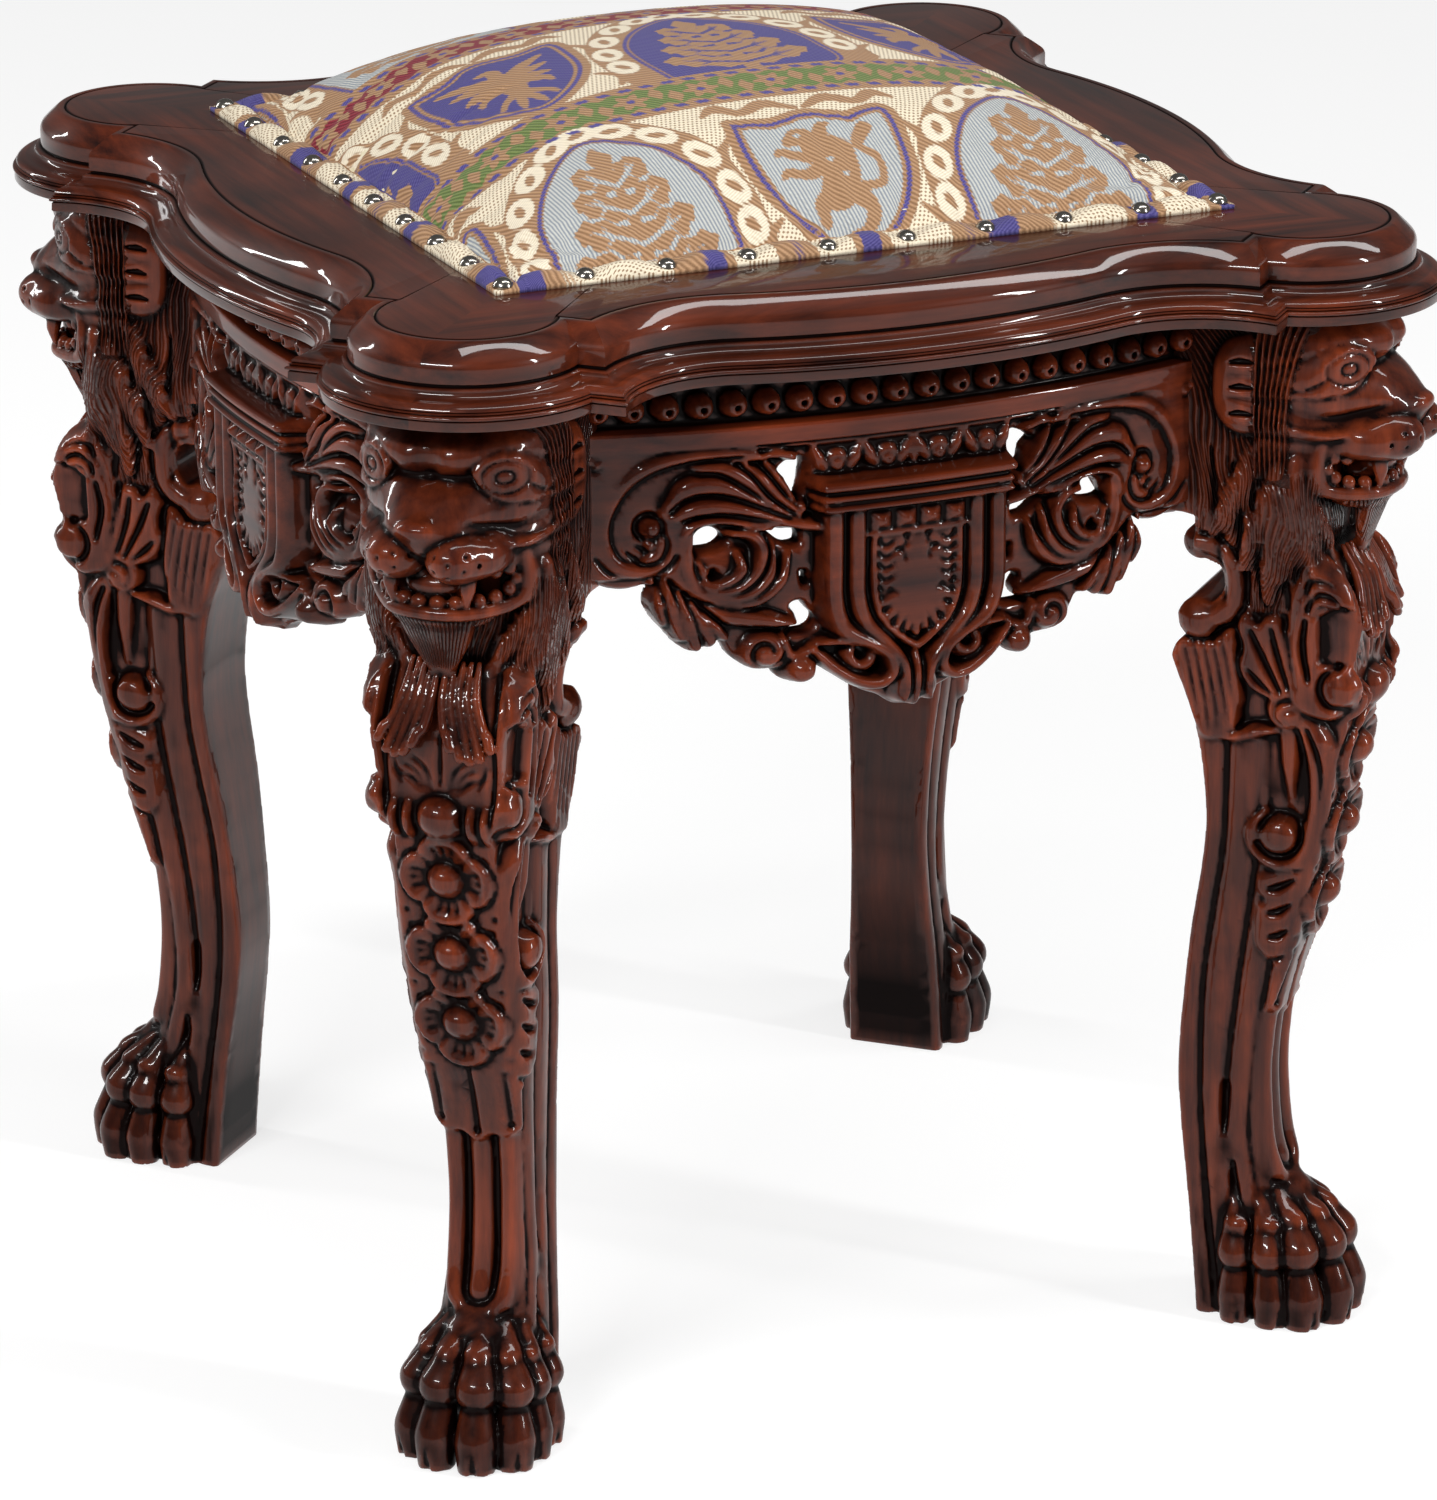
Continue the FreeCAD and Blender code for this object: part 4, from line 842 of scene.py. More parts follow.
# acanthus: two lobes that turn to the scroll, three that rise beside the hole, dark cuts between them
board.reed([(38, 357), (46, 358.6), (58, 361.4)], (2.6, 2.6, 1.4), BOARD_SUNK, (2, 2.8, 2.6))
board.reed([(92, 351), (89.6, 358.6), (84, 362), (76, 362.4), (66, 360), (56, 356.6)],
           (1.4, 1.8, 1.8, 1.8, 1.6, 1.2), BOARD_SUNK, (0.4, 1.4, 2.0, 2.0, 2.0, 1.4))
for path, width, top in (
    ([(43, 358.8), (56, 361.4), (70, 366.6), (82, 368.6), (90, 366.8), (95.6, 362.6)],
     (2.4, 3.4, 4.2, 4.2, 3.4, 1.2), (1.6, 3.2, 4.6, 4.8, 3.8, 1.2)),
    ([(47, 361), (58, 366.6), (70, 373), (81, 376.6), (90, 374.8), (96.4, 368)],
     (2, 3.4, 4.8, 5.2, 4.6, 1.6), (1.4, 2.8, 3.6, 3.8, 3.2, 0.8)),
    ([(54, 366), (64, 374.6), (74, 381.2), (85.6, 383)], (1.6, 3.2, 3.4, 1.0), (1.6, 3.0, 3.0, 0.8)),
    ([(46, 363), (55, 370.6), (61.4, 378), (67, 383.4)], (1.8, 2.6, 2.6, 0.9), (2, 4.0, 4.0, 1.4)),
    ([(44, 364.4), (50, 370.4), (54.6, 376.8), (58.6, 383.4)], (1.6, 2.2, 2.4, 1.0), (1.8, 3.4, 3.6, 1.4)),
    ([(62, 385), (56, 386.6), (49.6, 385.4), (45, 381)], (1.0, 2.0, 2.0, 0.9), (1, 2.4, 2.4, 0.6)),
):
    board.leaf(path, width, BOARD_SUNK, top, 1, 1.3)
for path, width in (([(48, 362.8), (58, 370.8), (65.6, 380.6)], (0.6, 1.2, 0.6)),
                    ([(46, 364.4), (53, 372), (58, 380)], (0.5, 1.0, 0.5)),
                    ([(50, 361), (64, 367.6), (77, 372), (88, 371.6), (95, 366.6)],
                     (0.6, 1.2, 1.5, 1.4, 0.6)),
                    ([(57, 366.4), (67, 374), (77, 380), (86, 380.4)], (0.5, 1.1, 1.2, 0.5)),
                    ([(53, 359.6), (70, 364), (80, 364.8), (90, 363)], (0.6, 1.2, 1.3, 0.6))):
    board.slit(path, width, 3.4)
# inner fan: blades that start together at the left and sweep round a small hole to their tips
board.reed([(88.6, 356), (89.6, 348), (88, 341), (84, 334), (76, 330)], (2.0, 3.0, 3.2, 2.6, 1.4),
           BOARD_SUNK,
           (0.4, 1.0, 1.2, 1.0, 0.4))
board.dome((72, 341), (17, 11), -6, -1.0)
for path, width, top in (
    ([(87, 335.6), (76, 329.8), (63, 330), (53.6, 337), (49.6, 347)], (0.9, 2.0, 2.8, 3.0, 0.9),
     (0.6, 1.8, 2.6, 2.8, 0.8)),
    ([(86.6, 338), (77, 332.4), (66, 333), (58.2, 340), (55.6, 351)], (0.8, 1.9, 2.6, 2.8, 0.9),
     (0.8, 2.4, 3.4, 3.6, 1.2)),
    ([(86, 340.4), (78, 335), (70, 336), (63.4, 342), (61, 350.6), (65.4, 356.4), (73.4, 356.6)],
     (0.8, 1.8, 2.4, 2.8, 2.8, 2.8, 1.2), (0.8, 2.6, 3.8, 4.4, 4.4, 4.0, 1.6)),
    ([(84.6, 342.4), (79, 337.8), (73, 339), (69, 343.4), (70, 349)], (0.7, 1.6, 2.4, 2.8, 1.2),
     (0.6, 2.2, 3.6, 4.6, 2.4)),
    ([(85, 347), (82.6, 342.6), (77.6, 340.4)], (0.8, 1.5, 0.8), (0.6, 1.8, 1.4)),
):
    board.leaf(path, width, BOARD_SUNK, top, 1, 0.9)
# leaf spike and the bundle of blades under the fan
board.leaf([(94, 331), (83, 326.8), (70, 324), (57, 321.6), (45.4, 319)], (1.2, 3.2, 3.8, 3.2, 0.6), -5,
           (1.4, 3.0, 3.6, 3.4, 1.4), 1, 1.2)
board.h = np.where((bz < 341) & (bx > 72) & (bz < 341 - 0.9 * (96 - bx)), BOARD_SUNK, board.h)
for path, width in (([(101, 339), (100.6, 331), (98.6, 322.6)], (1.4, 2.6, 2.2)),
                    ([(97.6, 340.6), (95.4, 330), (91.6, 318)], (1.2, 3.2, 2.8)),
                    ([(92.4, 335), (89.4, 324), (86, 313.4)], (1.2, 3.2, 3.0)),
                    ([(87.4, 330.6), (83.4, 321.6), (79.6, 314)], (1.0, 3.0, 2.8)),
                    ([(83, 326.6), (78.4, 320.4), (75, 316)], (0.8, 2.4, 2.0))):
    board.reed(path, width, BOARD_SUNK, (1.4, 3.0, 1.6))
    board.slit(path, (0.4, 0.9, 0.5), 1.2)
# spiral ball, small ball and the stem between them
board.dome((59, 309), (10.4, 8.8), -6, 2.6)
board.slit(spiral((59, 309.5), 9.0, 95, 1.2, 0.25), 1.3, 2.4)
board.slit(spiral((60, 309), 6.4, 250, 0.6, 0.5), 1.0, 1.6)
board.dome((45, 301.2), (6.8, 6.4), -6, 4.6)
board.reed([(52, 314), (49, 307), (43, 307.5), (39, 311)], (2, 2.4, 2.4, 1.6), -6, (0, 0.4, 0.4, -1))
# leaf row under the plain band
board.lift((bx < 41) & (bz > 376), -2.8)
board.reed([(-8, 389.6), (30, 389.6), (62, 389.6)], 1.2, -4, -0.6)
for middle in (10.5, 31):
    board.dome((middle, 380.8), (5.2, 6.6), -4, 0.6)
    board.ring((middle, 380.2), (2.7, 2.9), 0.8, 1.4)
    board.pit((middle, 380.2), 1.2, 1.8)
    for lean in (-1, 1):
        board.leaf([(middle + 4.4 * lean, 377), (middle + 7.4 * lean, 383), (middle + 9.6 * lean, 388.6)],
                   (1.6, 2.8, 0.8), -4, (0.4, 1.4, 0), 1, 1.2)
board.leaf([(0, 377), (0, 383), (0, 388)], (2.4, 2.2, 0.8), -4, (0.6, 1.0, 0), 1, 1.0)
# shield: frame ridges that run into the lower volutes, a bar, four pyramids and a field
board.lift((bx < 38.4) & (bz < 377) & (bz > 312 + 0.35 * bx), 0.6)
board.reed([(33.8, 364), (33.8, 345), (33.6, 328), (30, 317), (21, 311), (13, 306), (10.2, 299),
            (14.5, 294), (22, 294.5), (32, 300), (41, 309)],
           (4.7, 4.7, 4.6, 4.4, 3.8, 3.4, 3.2, 3.2, 3.2, 3.0, 1.8), -3,
           (6.4, 6.4, 6.4, 6.4, 6.8, 7.2, 7.2, 6.8, 6, 4.6, 2))
board.reed([(24.6, 364), (24.6, 345), (24.4, 329), (21, 318), (13, 309.5), (6.4, 301), (4.2, 292),
            (5.4, 285.5)],
           (4.5, 4.5, 4.4, 4.2, 3.6, 3.2, 2.8, 2.0), -3, (6, 6, 6, 6, 6.4, 7, 6.6, 5))
board.reed([(17.6, 354), (17.6, 340), (17.2, 328), (13.6, 318), (6, 310.5), (0, 306.5)], 1.9, 0,
           (4.4, 4.4, 4.4, 4.6, 5, 5.2))
board.dome((22, 304), (8, 7), -4, 3.6)
board.reed([(38, 311), (29, 311.4), (23, 310)], (1.4, 2.4, 2.2), -4, (2.4, 4.4, 4.8))
plate = board.inside([(0, 309.5), (8, 314.5), (14, 321.5), (15.6, 330), (15.6, 351.4), (-15.6, 351.4),
                      (-15.6, 330), (-14, 321.5), (-8, 314.5)])
# a spread eagle in flat relief that fills the field; cuts show its beak, eye, feathers, claws and tail
board.h = np.where(plate < 0, 3.0, board.h)
board.slit([(4.6, 351.4), (4.4, 348.6), (5.6, 346.2), (8.6, 345.6), (5.6, 344.4), (5.0, 341.2)],
           (1.5, 0.7, 0.7, 0.9, 0.6, 0.4), 1.9)
board.pit((2.1, 348.2), 0.8, 1.4)
for feather in range(5):
    root = 349.4 - 4.5 * feather
    board.slit([(15.6, root), (13.8, root - 1.9), (11.2, root - 1.3), (9.4, root + 0.2)],
               (1.3, 0.9, 0.7, 0.3), 1.9)
board.slit([(15.6, 327.4), (12.4, 327.6), (10.2, 329.2), (7.6, 328.6)], (1.0, 0.7, 0.9, 0.4), 1.9)
for foot, tip in (((14.4, 321.8), (10.6, 323.6)), ((10.4, 316.4), (8.0, 319.8)),
                  ((6.2, 313.2), (4.8, 317.4)), ((2.4, 311.0), (1.9, 315.4))):
    board.slit([foot, tip], (1.5, 0.4), 1.9)
board.lift((bx < 38.6) & (bz > 362.6) & (bz < 376.6), 3.0)
for height, wide, top in ((373.6, 2.7, 9.2), (368.4, 1.9, 7.6), (364.8, 1.8, 8.4)):
    board.reed([(-20, height), (20, height), (38.6, height)], wide, 3.0, top)
board.lift((bx < 21) & (bz > 353.6) & (bz < 362.6), 2.2)
for middle in (5.1, 15.3):
    point = 1 - np.maximum(abs(bx - middle) / 5.0, abs(bz - 358.2) / 4.4)
    board.lift(point > 0, 2.4 + 5.2 * point)
board.reed([(-10, 352.8), (20.5, 352.8)], 1.2, 1.4, 4.6)
# three-lobed drop under the shield
board.dome((0, 294), (3.4, 13), -3, 5.4)
board.dome((5.6, 294), (3.2, 9.5), -3, 5.2, 12)
board.slit([(2.6, 303), (2.8, 293), (2.4, 284)], 0.9, 2.2)
# corner bracket leaf
board.reed([(127, 389), (121, 386.6), (114, 387.6)], (2.4, 2.6, 1.2), -4, (1, 1, -2))
board.ring((122.6, 386), (2.2, 1.8), 0.7, 1.2)
board.soften(1)
# plain band, then the channel with its drilled pearls
band = (bz > 390.4) & (bz < 398.8)
board.h = np.where(band, 0.4 - 0.16 * np.maximum(0, abs(bz - 394.6) - 2.6) ** 2, board.h)
board.h = np.where(bz >= 398.8, -6.4, board.h)
for pearl in range(PEARLS):
    middle = PEARL_PITCH / 2 + PEARL_PITCH * pearl
    board.dome((middle, PEARL_Z), (5.2, 5.2), -5.6, 2.4)
    board.pit((middle, PEARL_Z - 0.6), 1.7, 3.6)
# rounded lower edge and the pierced openings
EDGE = [(-10, 440), (132, 440), (134, 390), (131, 341), (126, 341), (117, 337), (110, 336), (103, 337.5),
        (98, 341), (100.5, 336), (102, 330), (99.5, 324), (95, 318.5), (91, 313.5), (87, 311), (82, 311.5),
        (77, 314.5), (74, 313), (70, 306.5), (63, 302), (55, 301), (52, 297), (46, 295), (40, 297.5),
        (38.5, 301), (32, 297), (25, 292), (18, 288), (12, 285.5), (6, 281.5), (0, 280.6), (-8, 281)]
HOLES = [
    [(53, 378.5), (47, 383), (42.5, 381.5), (43.5, 371), (46, 367), (48.5, 371), (49.5, 375.5)],
    [(58, 356.6), (51, 355.4), (45, 354.4), (44.6, 350), (50, 350)],
    [(85.5, 351), (83, 356.6), (78, 358.4), (73, 354.4), (76, 351), (82, 350)],
    [(80.6, 341), (78.6, 342.6), (77, 340.6), (79.6, 339.4)],
    [(43.4, 338.4), (41.6, 338), (41, 334.6), (42.6, 334)],
    [(50, 315), (46, 317.4), (45, 321), (47.4, 325), (43.4, 326.4), (40, 322.6), (37.4, 319.4),
     (40.6, 315.4)],
    [(23.6, 308), (20.2, 307.4), (19.6, 304.2), (22.4, 302.6), (24.6, 305)],
]
edge = board.inside(EDGE, 128)
for hole in HOLES:
    edge = np.maximum(edge, -board.inside(hole, 28))
board.h = board.h - 3.2 * np.clip(1 + edge / 2.6, 0, 1) ** 2 * (bz < CARVED_TOP)
apron = (e_axis[None, :, None] - board.h[:, None, :]) / board.steepness(BOARD_GRAIN)[:, None, :]
back = np.where(y_axis > CARVED_TOP, BOARD_BACK, CARVED_BACK)
apron = np.maximum(np.maximum(apron, (back[None, :] - e_axis[:, None])[None]), edge[:, None, :])
apron = np.maximum(apron, np.maximum(y_axis[None, None, :] - LEG_TOP, (x_axis - BOARD_END)[:, None, None]))
apron = np.concatenate([apron[:0:-1], apron], 0)
points, quads, triangles, fill = surface(apron, BOARD_GRAIN, (-x_axis[-1], e_axis[0], y_axis[0]),
                                         BOARD_THINNING)
bowed = BOARD_REACH + BOARD_BOW * (1 - (points[:, 0] / BOARD_HALF) ** 2) + points[:, 1]
points = np.stack([points[:, 0], -bowed, points[:, 2]], 1)
quads = quads[:, ::-1]
triangles = triangles[:, ::-1]


def lacquers(name, bare, glaze_and_shade, streaks, coat):
    """The finish of boards that run across the stool, and of those that run along it."""
    along, fine = streaks
    return {0: lacquer(f"{name}_across", bare, glaze_and_shade, (along, fine, fine), coat),
            90: lacquer(f"{name}_along", bare, glaze_and_shade, (fine, along, fine), coat)}


# lacquer of the aprons: bare colours, and near-black for glazing and painted shade in the hollows
APRON_BARE = (0.020, 0.0024, 0.0008), (0.104, 0.0165, 0.0044)
APRON_GLAZE_AND_SHADE = (0.003, 0.0008, 0.0006)
apron_lacquers = lacquers("apron_lacquer", APRON_BARE, APRON_GLAZE_AND_SHADE, (9, 120), 0.44)
for side, angle in SIDES.items():
    carved_apron = piece(f"carved_apron_{side}", points @ turned_by(angle), quads, triangles)
    mark(carved_apron, "hollow", fill)
    carved_apron.data.materials.append(apron_lacquers[angle % 180])
    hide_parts(f"apron_{side}")
    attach(carved_apron, "root")

# Moulded top: four rails mitred on the diagonals, shaped in plan to bows, hollows and round corner lobes.
# The edge is a run moulding: a rounded bevel, a fillet, a wave, a fine step, a bead and a plain band.

TOP_Z = 450.0
BOW_RADIUS = 255.0
HOLLOW_RADIUS = 65.0
HOLLOW_PLACE = 92.0
SIDE_REACH = 199.0
LOBE_PLACE = 172.0
LOBE_RADIUS = 36.5
FACET_SETBACK = 6.7
OPENING_HALF = 102.0
REBATE_HALF = 140.15
REBATE_Z = 438.0
BOW_STEPS, HOLLOW_STEPS, LOBE_STEPS = 30, 16, 26


def swing(middle, start, end, steps):
    """Points along the shorter arc about a middle point, both ends included."""
    first, last = (np.arctan2(p[1] - middle[1], p[0] - middle[0]) for p in (start, end))
    radius = np.hypot(end[0] - middle[0], end[1] - middle[1])
    a = np.linspace(first, last, steps + 1)
    return np.stack([middle[0] + radius * np.cos(a), middle[1] + radius * np.sin(a)], 1)


def plan(out):
    """Half a side of the top at a projection, as rows (along, outward): bow, hollow, facet, half lobe."""
    bow_middle = np.array([0, SIDE_REACH - BOW_RADIUS])
    apart = BOW_RADIUS + HOLLOW_RADIUS
    hollow_middle = np.array([HOLLOW_PLACE, bow_middle[1] + np.sqrt(apart ** 2 - HOLLOW_PLACE ** 2)])
    lobe_middle = np.array([LOBE_PLACE, LOBE_PLACE])
    facet = np.sqrt(2) * LOBE_PLACE - FACET_SETBACK + out

    def on_facet(middle, radius, side):
        """Where a circle meets the line of the facet."""
        reach = facet - middle.sum() / np.sqrt(2)
        along = side * np.sqrt(radius ** 2 - reach ** 2)
        return middle + np.array([reach + along, reach - along]) / np.sqrt(2)

    crown = np.array([0, SIDE_REACH + out])
    bend = bow_middle + (hollow_middle - bow_middle) * (BOW_RADIUS + out) / apart
    hollow_end = on_facet(hollow_middle, HOLLOW_RADIUS - out, 1)
    lobe_start = on_facet(lobe_middle, LOBE_RADIUS + out, -1)
    tip = LOBE_PLACE + (LOBE_RADIUS + out) / np.sqrt(2)
    return np.vstack([swing(bow_middle, crown, bend, BOW_STEPS)[:-1],
                      swing(hollow_middle, bend, hollow_end, HOLLOW_STEPS),
                      swing(lobe_middle, lobe_start, (tip, tip), LOBE_STEPS)])


def turned(start, radius, high, low, steps):
    """Rows of an arc of the moulding whose normal tips from one elevation to another, in degrees."""
    tilt = np.radians(np.linspace(high, low, steps))
    out, z = radius * (np.cos(tilt) - np.cos(tilt[0])), radius * (np.sin(tilt) - np.sin(tilt[0]))
    return [(start[0] + a, start[1] + b, 0.42) for a, b in zip(out, z)]


# projection, height and how much glazing and painted shade darken there, down the moulding
MOULDING = [(-4.0, TOP_Z, 0.45), (-3.3, TOP_Z - 0.1, 0.55), (-2.7, TOP_Z - 0.7, 0.66),
            (-2.1, TOP_Z - 0.1, 0.5)]
MOULDING += turned((-0.8, TOP_Z), 3.0, 88, 49, 5)
MOULDING += turned(MOULDING[-1], 70.0, 49, 43, 4)[1:]
MOULDING += turned(MOULDING[-1], 5.0, 43, 0, 7)[1:]
MOULDING += [(7.6, TOP_Z - 14.2, 0.46), (7.0, TOP_Z - 14.7, 0.62), (7.1, TOP_Z - 15.3, 0.64)]
MOULDING += [(9.2, TOP_Z - 15.8, 0.44), (9.6, TOP_Z - 16.1, 0.42), (9.6, TOP_Z - 16.7, 0.5)]
hollow_arc = np.radians(np.linspace(0, 80, 7))
MOULDING += [(9.6 + 4.6 * (1 - np.cos(a)), TOP_Z - 16.7 - 2.6 * np.sin(a), 0.5) for a in hollow_arc]
round_arc = np.radians(np.linspace(8, 85, 7))
MOULDING += [(13.4 + 4.3 * np.sin(a), TOP_Z - 19.3 - 2.6 * (1 - np.cos(a)), 0.42) for a in round_arc]
MOULDING += [(17.4, TOP_Z - 22.0, 0.62), (17.7, TOP_Z - 22.3, 0.45), (18.3, TOP_Z - 22.5, 0.42),
             (17.9, TOP_Z - 23.1, 0.6)]
bulge = np.radians(np.linspace(80, -80, 7))
MOULDING += [(18.2 + np.cos(a), TOP_Z - 24.1 + 0.8 * np.sin(a), 0.42) for a in bulge]
MOULDING += [(18.0, TOP_Z - 25.1, 0.64), (18.4, TOP_Z - 25.5, 0.5), (18.5, TOP_Z - 28.4, 0.48),
             (18.1, LEG_TOP, 0.5)]
rows = []
glaze_and_shade = []
for out, z, dark in MOULDING:
    half_side = plan(out)
    side_line = np.vstack([half_side[:0:-1] * [-1, 1], half_side])
    rows.append(np.column_stack([side_line[:, 0], -side_line[:, 1], np.full(len(side_line), z)]))
    glaze_and_shade.append(np.full(len(side_line), dark))
share = rows[0][:, 0] / abs(rows[0][:, 0]).max()
for reach, z in ((OPENING_HALF, LEG_TOP), (OPENING_HALF, REBATE_Z), (REBATE_HALF, REBATE_Z),
                 (REBATE_HALF, TOP_Z)):
    rows.append(np.column_stack([share * reach, np.full(len(share), -reach), np.full(len(share), z)]))
    glaze_and_shade.append(np.full(len(share), 0.46))
rail_points = np.vstack(rows)
rail_glaze_and_shade = np.concatenate(glaze_and_shade)
across, along = len(rows), len(share)
i, j = np.meshgrid(np.arange(across), np.arange(along - 1), indexing="ij")
after = (i + 1) % across
low, high = i * along + j, after * along + j
rail_quads = np.stack([low, high, high + 1, low + 1], -1).reshape(-1, 4)
ends = [[k * along for k in range(across)][::-1], [k * along + along - 1 for k in range(across)]]


def built(name, points, faces):
    """A smooth-shaded object from points in millimetres and faces with any number of corners."""
    mesh = bpy.data.meshes.new(name)
    mesh.from_pydata((points * 0.001).tolist(), [], faces)
    mesh.update()
    mesh.shade_smooth()
    return shown(name, mesh)


# lacquer of the rails: bare colours, and near-black for glazing and painted shade in the grooves
RAIL_BARE = (0.010, 0.0014, 0.0005), (0.094, 0.0160, 0.0048)
RAIL_GLAZE_AND_SHADE = (0.003, 0.0009, 0.0007)
rail_lacquers = lacquers("rail_lacquer", RAIL_BARE, RAIL_GLAZE_AND_SHADE, (6, 110), 0.62)
for side, angle in SIDES.items():
    moulded_rail = built(f"moulded_rail_{side}", rail_points @ turned_by(angle), rail_quads.tolist() + ends)
    moulded_rail.data.set_sharp_from_angle(angle=np.radians(38))
    mark(moulded_rail, "hollow", rail_glaze_and_shade)
    moulded_rail.data.materials.append(rail_lacquers[angle % 180])
    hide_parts(f"top_rail_{side}")
    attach(moulded_rail, "root")

# Seat board and foam: a plain board let into the rebate of the top, and the pad of foam that lies on it.
# Both are hidden by the cover; the board shows from below.

PAD_HALF = 142.0
PAD_CELLS = 40
PAD_LIFT = 0.2
FOAM_RISE = 37.0


def crown_height(u, v):
    """Rise of the cushion, from 0 to 1, over u and v from -1 to 1: a dome that is steeper at its edges."""
    rim = np.clip(1 - abs(u) ** 2.3, 0, 1) * np.clip(1 - abs(v) ** 2.3, 0, 1)
    return rim ** 0.62


def sheet_grid(count):
    """Points of an even square grid from -1 to 1, and its quads, facing up."""
    u, v = np.meshgrid(np.linspace(-1, 1, count), np.linspace(-1, 1, count), indexing="ij")
    i, j = np.meshgrid(np.arange(count - 1), np.arange(count - 1), indexing="ij")
    low = i * count + j
    return u.ravel(), v.ravel(), np.stack([low, low + count, low + count + 1, low + 1], -1).reshape(-1, 4)


def rim_of(count):
    """The border of such a grid, in order round it."""
    last = count - 1
    line = np.arange(last)
    return np.concatenate([line * count, last * count + line, (last - line) * count + last, last - line])


def closed_sheet(name, top, quads, rim, floor_z):
    """A sheet with a skirt down to a level and one flat face under it."""
    foot = top[rim].copy()
    foot[:, 2] = floor_z
    under = len(top) + np.arange(len(rim))
    skirt = np.stack([rim, under, np.roll(under, -1), np.roll(rim, -1)], -1)
    faces = quads.tolist() + skirt.tolist() + [under[::-1].tolist()]
    return built(name, np.vstack([top, foot]), faces)


def plain(name, colours, rough, metal, scale):
    """A plain finish with a faint procedural figure between two colours."""
    paint = Finish(name)
    colour = paint.ramp(paint.noise(scale, Detail=5), (0.3, colours[0]), (0.7, colours[1]))
    return paint.done({"Base Color": colour, "Roughness": rough, "Metallic": metal})


def dress(name, material):
    """Give a shown CAD node its finish."""
    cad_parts[name].data.materials.clear()
    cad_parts[name].data.materials.append(material)


hidden_wood = plain("hidden_wood", ((0.10, 0.045, 0.022), (0.20, 0.095, 0.048)), 0.6, 0.0, (60, 8, 60))
dress("seat_panel", hidden_wood)
foam = plain("foam", ((0.62, 0.55, 0.38), (0.70, 0.63, 0.46)), 0.9, 0.0, (400, 400, 400))
u, v, quads = sheet_grid(PAD_CELLS + 1)
pad_z = TOP_Z + PAD_LIFT + FOAM_RISE * crown_height(u, v)
pad_top = np.column_stack([u * PAD_HALF, v * PAD_HALF, pad_z])
pad = closed_sheet("foam_pad", pad_top, quads, rim_of(PAD_CELLS + 1), TOP_Z)
pad.data.materials.append(foam)
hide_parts("seat_pad")
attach(pad, "root")

# Cover: a woven tapestry drawn tight over the foam and nailed through its hem, with rows of arches and
# shields between bands of florets. It swells in a cloth simulation on a coarse sheet, and each colour
# of the weave is a layer that holds distances to its outlines, above zero inside.

CROWN = 44.0
COVER_CELLS = 76
COVER_FINER = 4
COVER_SLACK = 0.93
COVER_SWELL_CAP = 6.0
SWELL_FRAMES = 20
NAIL_PLACE = 148.0
NAILS_PER_SIDE = 9
HEM_HALF = 153.0
HEM_Z = 451.6
HEM_BAND = 11.5
HEM_PUFF = 4.6
HEM_TUCK = 2.6


def swell(points, quads, held, cap):
    """A sheet swollen by cloth simulation under pressure; no point moves further than the cap."""
    sheet = built("swelling", points, quads.tolist())
    sheet.vertex_groups.new(name="held").add(held.tolist(), 1.0, "REPLACE")
    cloth = sheet.modifiers.new("cloth", "CLOTH").settings
    cloth.vertex_group_mass = "held"
    cloth.mass = 0.005
    cloth.tension_stiffness = 5
    cloth.compression_stiffness = 5
    cloth.shrink_min = -0.02
    cloth.use_pressure = True
    cloth.uniform_pressure_force = 12
    cloth.effector_weights.gravity = 0
    for number in range(1, SWELL_FRAMES + 1):
        bpy.context.scene.frame_set(number)
    moved = np.empty(points.size, np.float32)
    swollen = sheet.evaluated_get(bpy.context.evaluated_depsgraph_get())
    swollen.data.vertices.foreach_get("co", moved)
    bpy.context.scene.frame_set(1)
    bpy.data.objects.remove(sheet)
    move = moved.reshape(-1, 3) * 1000 - points
    far = np.linalg.norm(move, axis=1, keepdims=True)
    return points + move * np.minimum(1, cap / np.maximum(far, 1e-6))


def finer(grid, times):
    """A square grid of points made finer along both ways with smooth lines."""
    size = len(grid)
    fine = (size - 1) * times + 1
    across = line_through(grid.reshape(size, -1), fine - 1).reshape(fine, size, 3).transpose(1, 0, 2)
    return line_through(across.reshape(size, -1), fine - 1).reshape(fine, fine, 3).transpose(1, 0, 2)


count = COVER_CELLS + 1
u, v, quads = sheet_grid(count)
cx, cy = u * HEM_HALF, v * HEM_HALF
lift = crown_height(np.clip(cx / (PAD_HALF + 1), -1, 1), np.clip(cy / (PAD_HALF + 1), -1, 1))
cover_top = np.column_stack([cx, cy, HEM_Z + COVER_SLACK * CROWN * lift])
cover_top = swell(cover_top, quads, np.flatnonzero(lift <= 0), COVER_SWELL_CAP)
cover_top = finer(cover_top.reshape(count, count, 3), COVER_FINER)
# the hem is drawn down at each nail and puffs up between them
fine = len(cover_top)
u, v, quads = sheet_grid(fine)
cx, cy = (u * HEM_HALF).reshape(fine, fine), (v * HEM_HALF).reshape(fine, fine)
nail_pitch = 2 * NAIL_PLACE / NAILS_PER_SIDE
for along, across in ((cx, cy), (cy, cx)):
    inward = HEM_HALF - abs(across)
    between = np.sin(np.pi * (along + NAIL_PLACE) / nail_pitch) ** 2
    rounded = np.sin(np.pi * np.clip(inward / HEM_BAND, 0, 1)) ** 0.7
    puff = HEM_PUFF * (0.12 + 0.88 * between ** 0.7) * rounded
    tuck = HEM_TUCK * np.exp(-((inward - HEM_BAND) / 1.3) ** 2)
    cover_top[..., 2] += (puff - tuck) * (abs(along) < NAIL_PLACE)
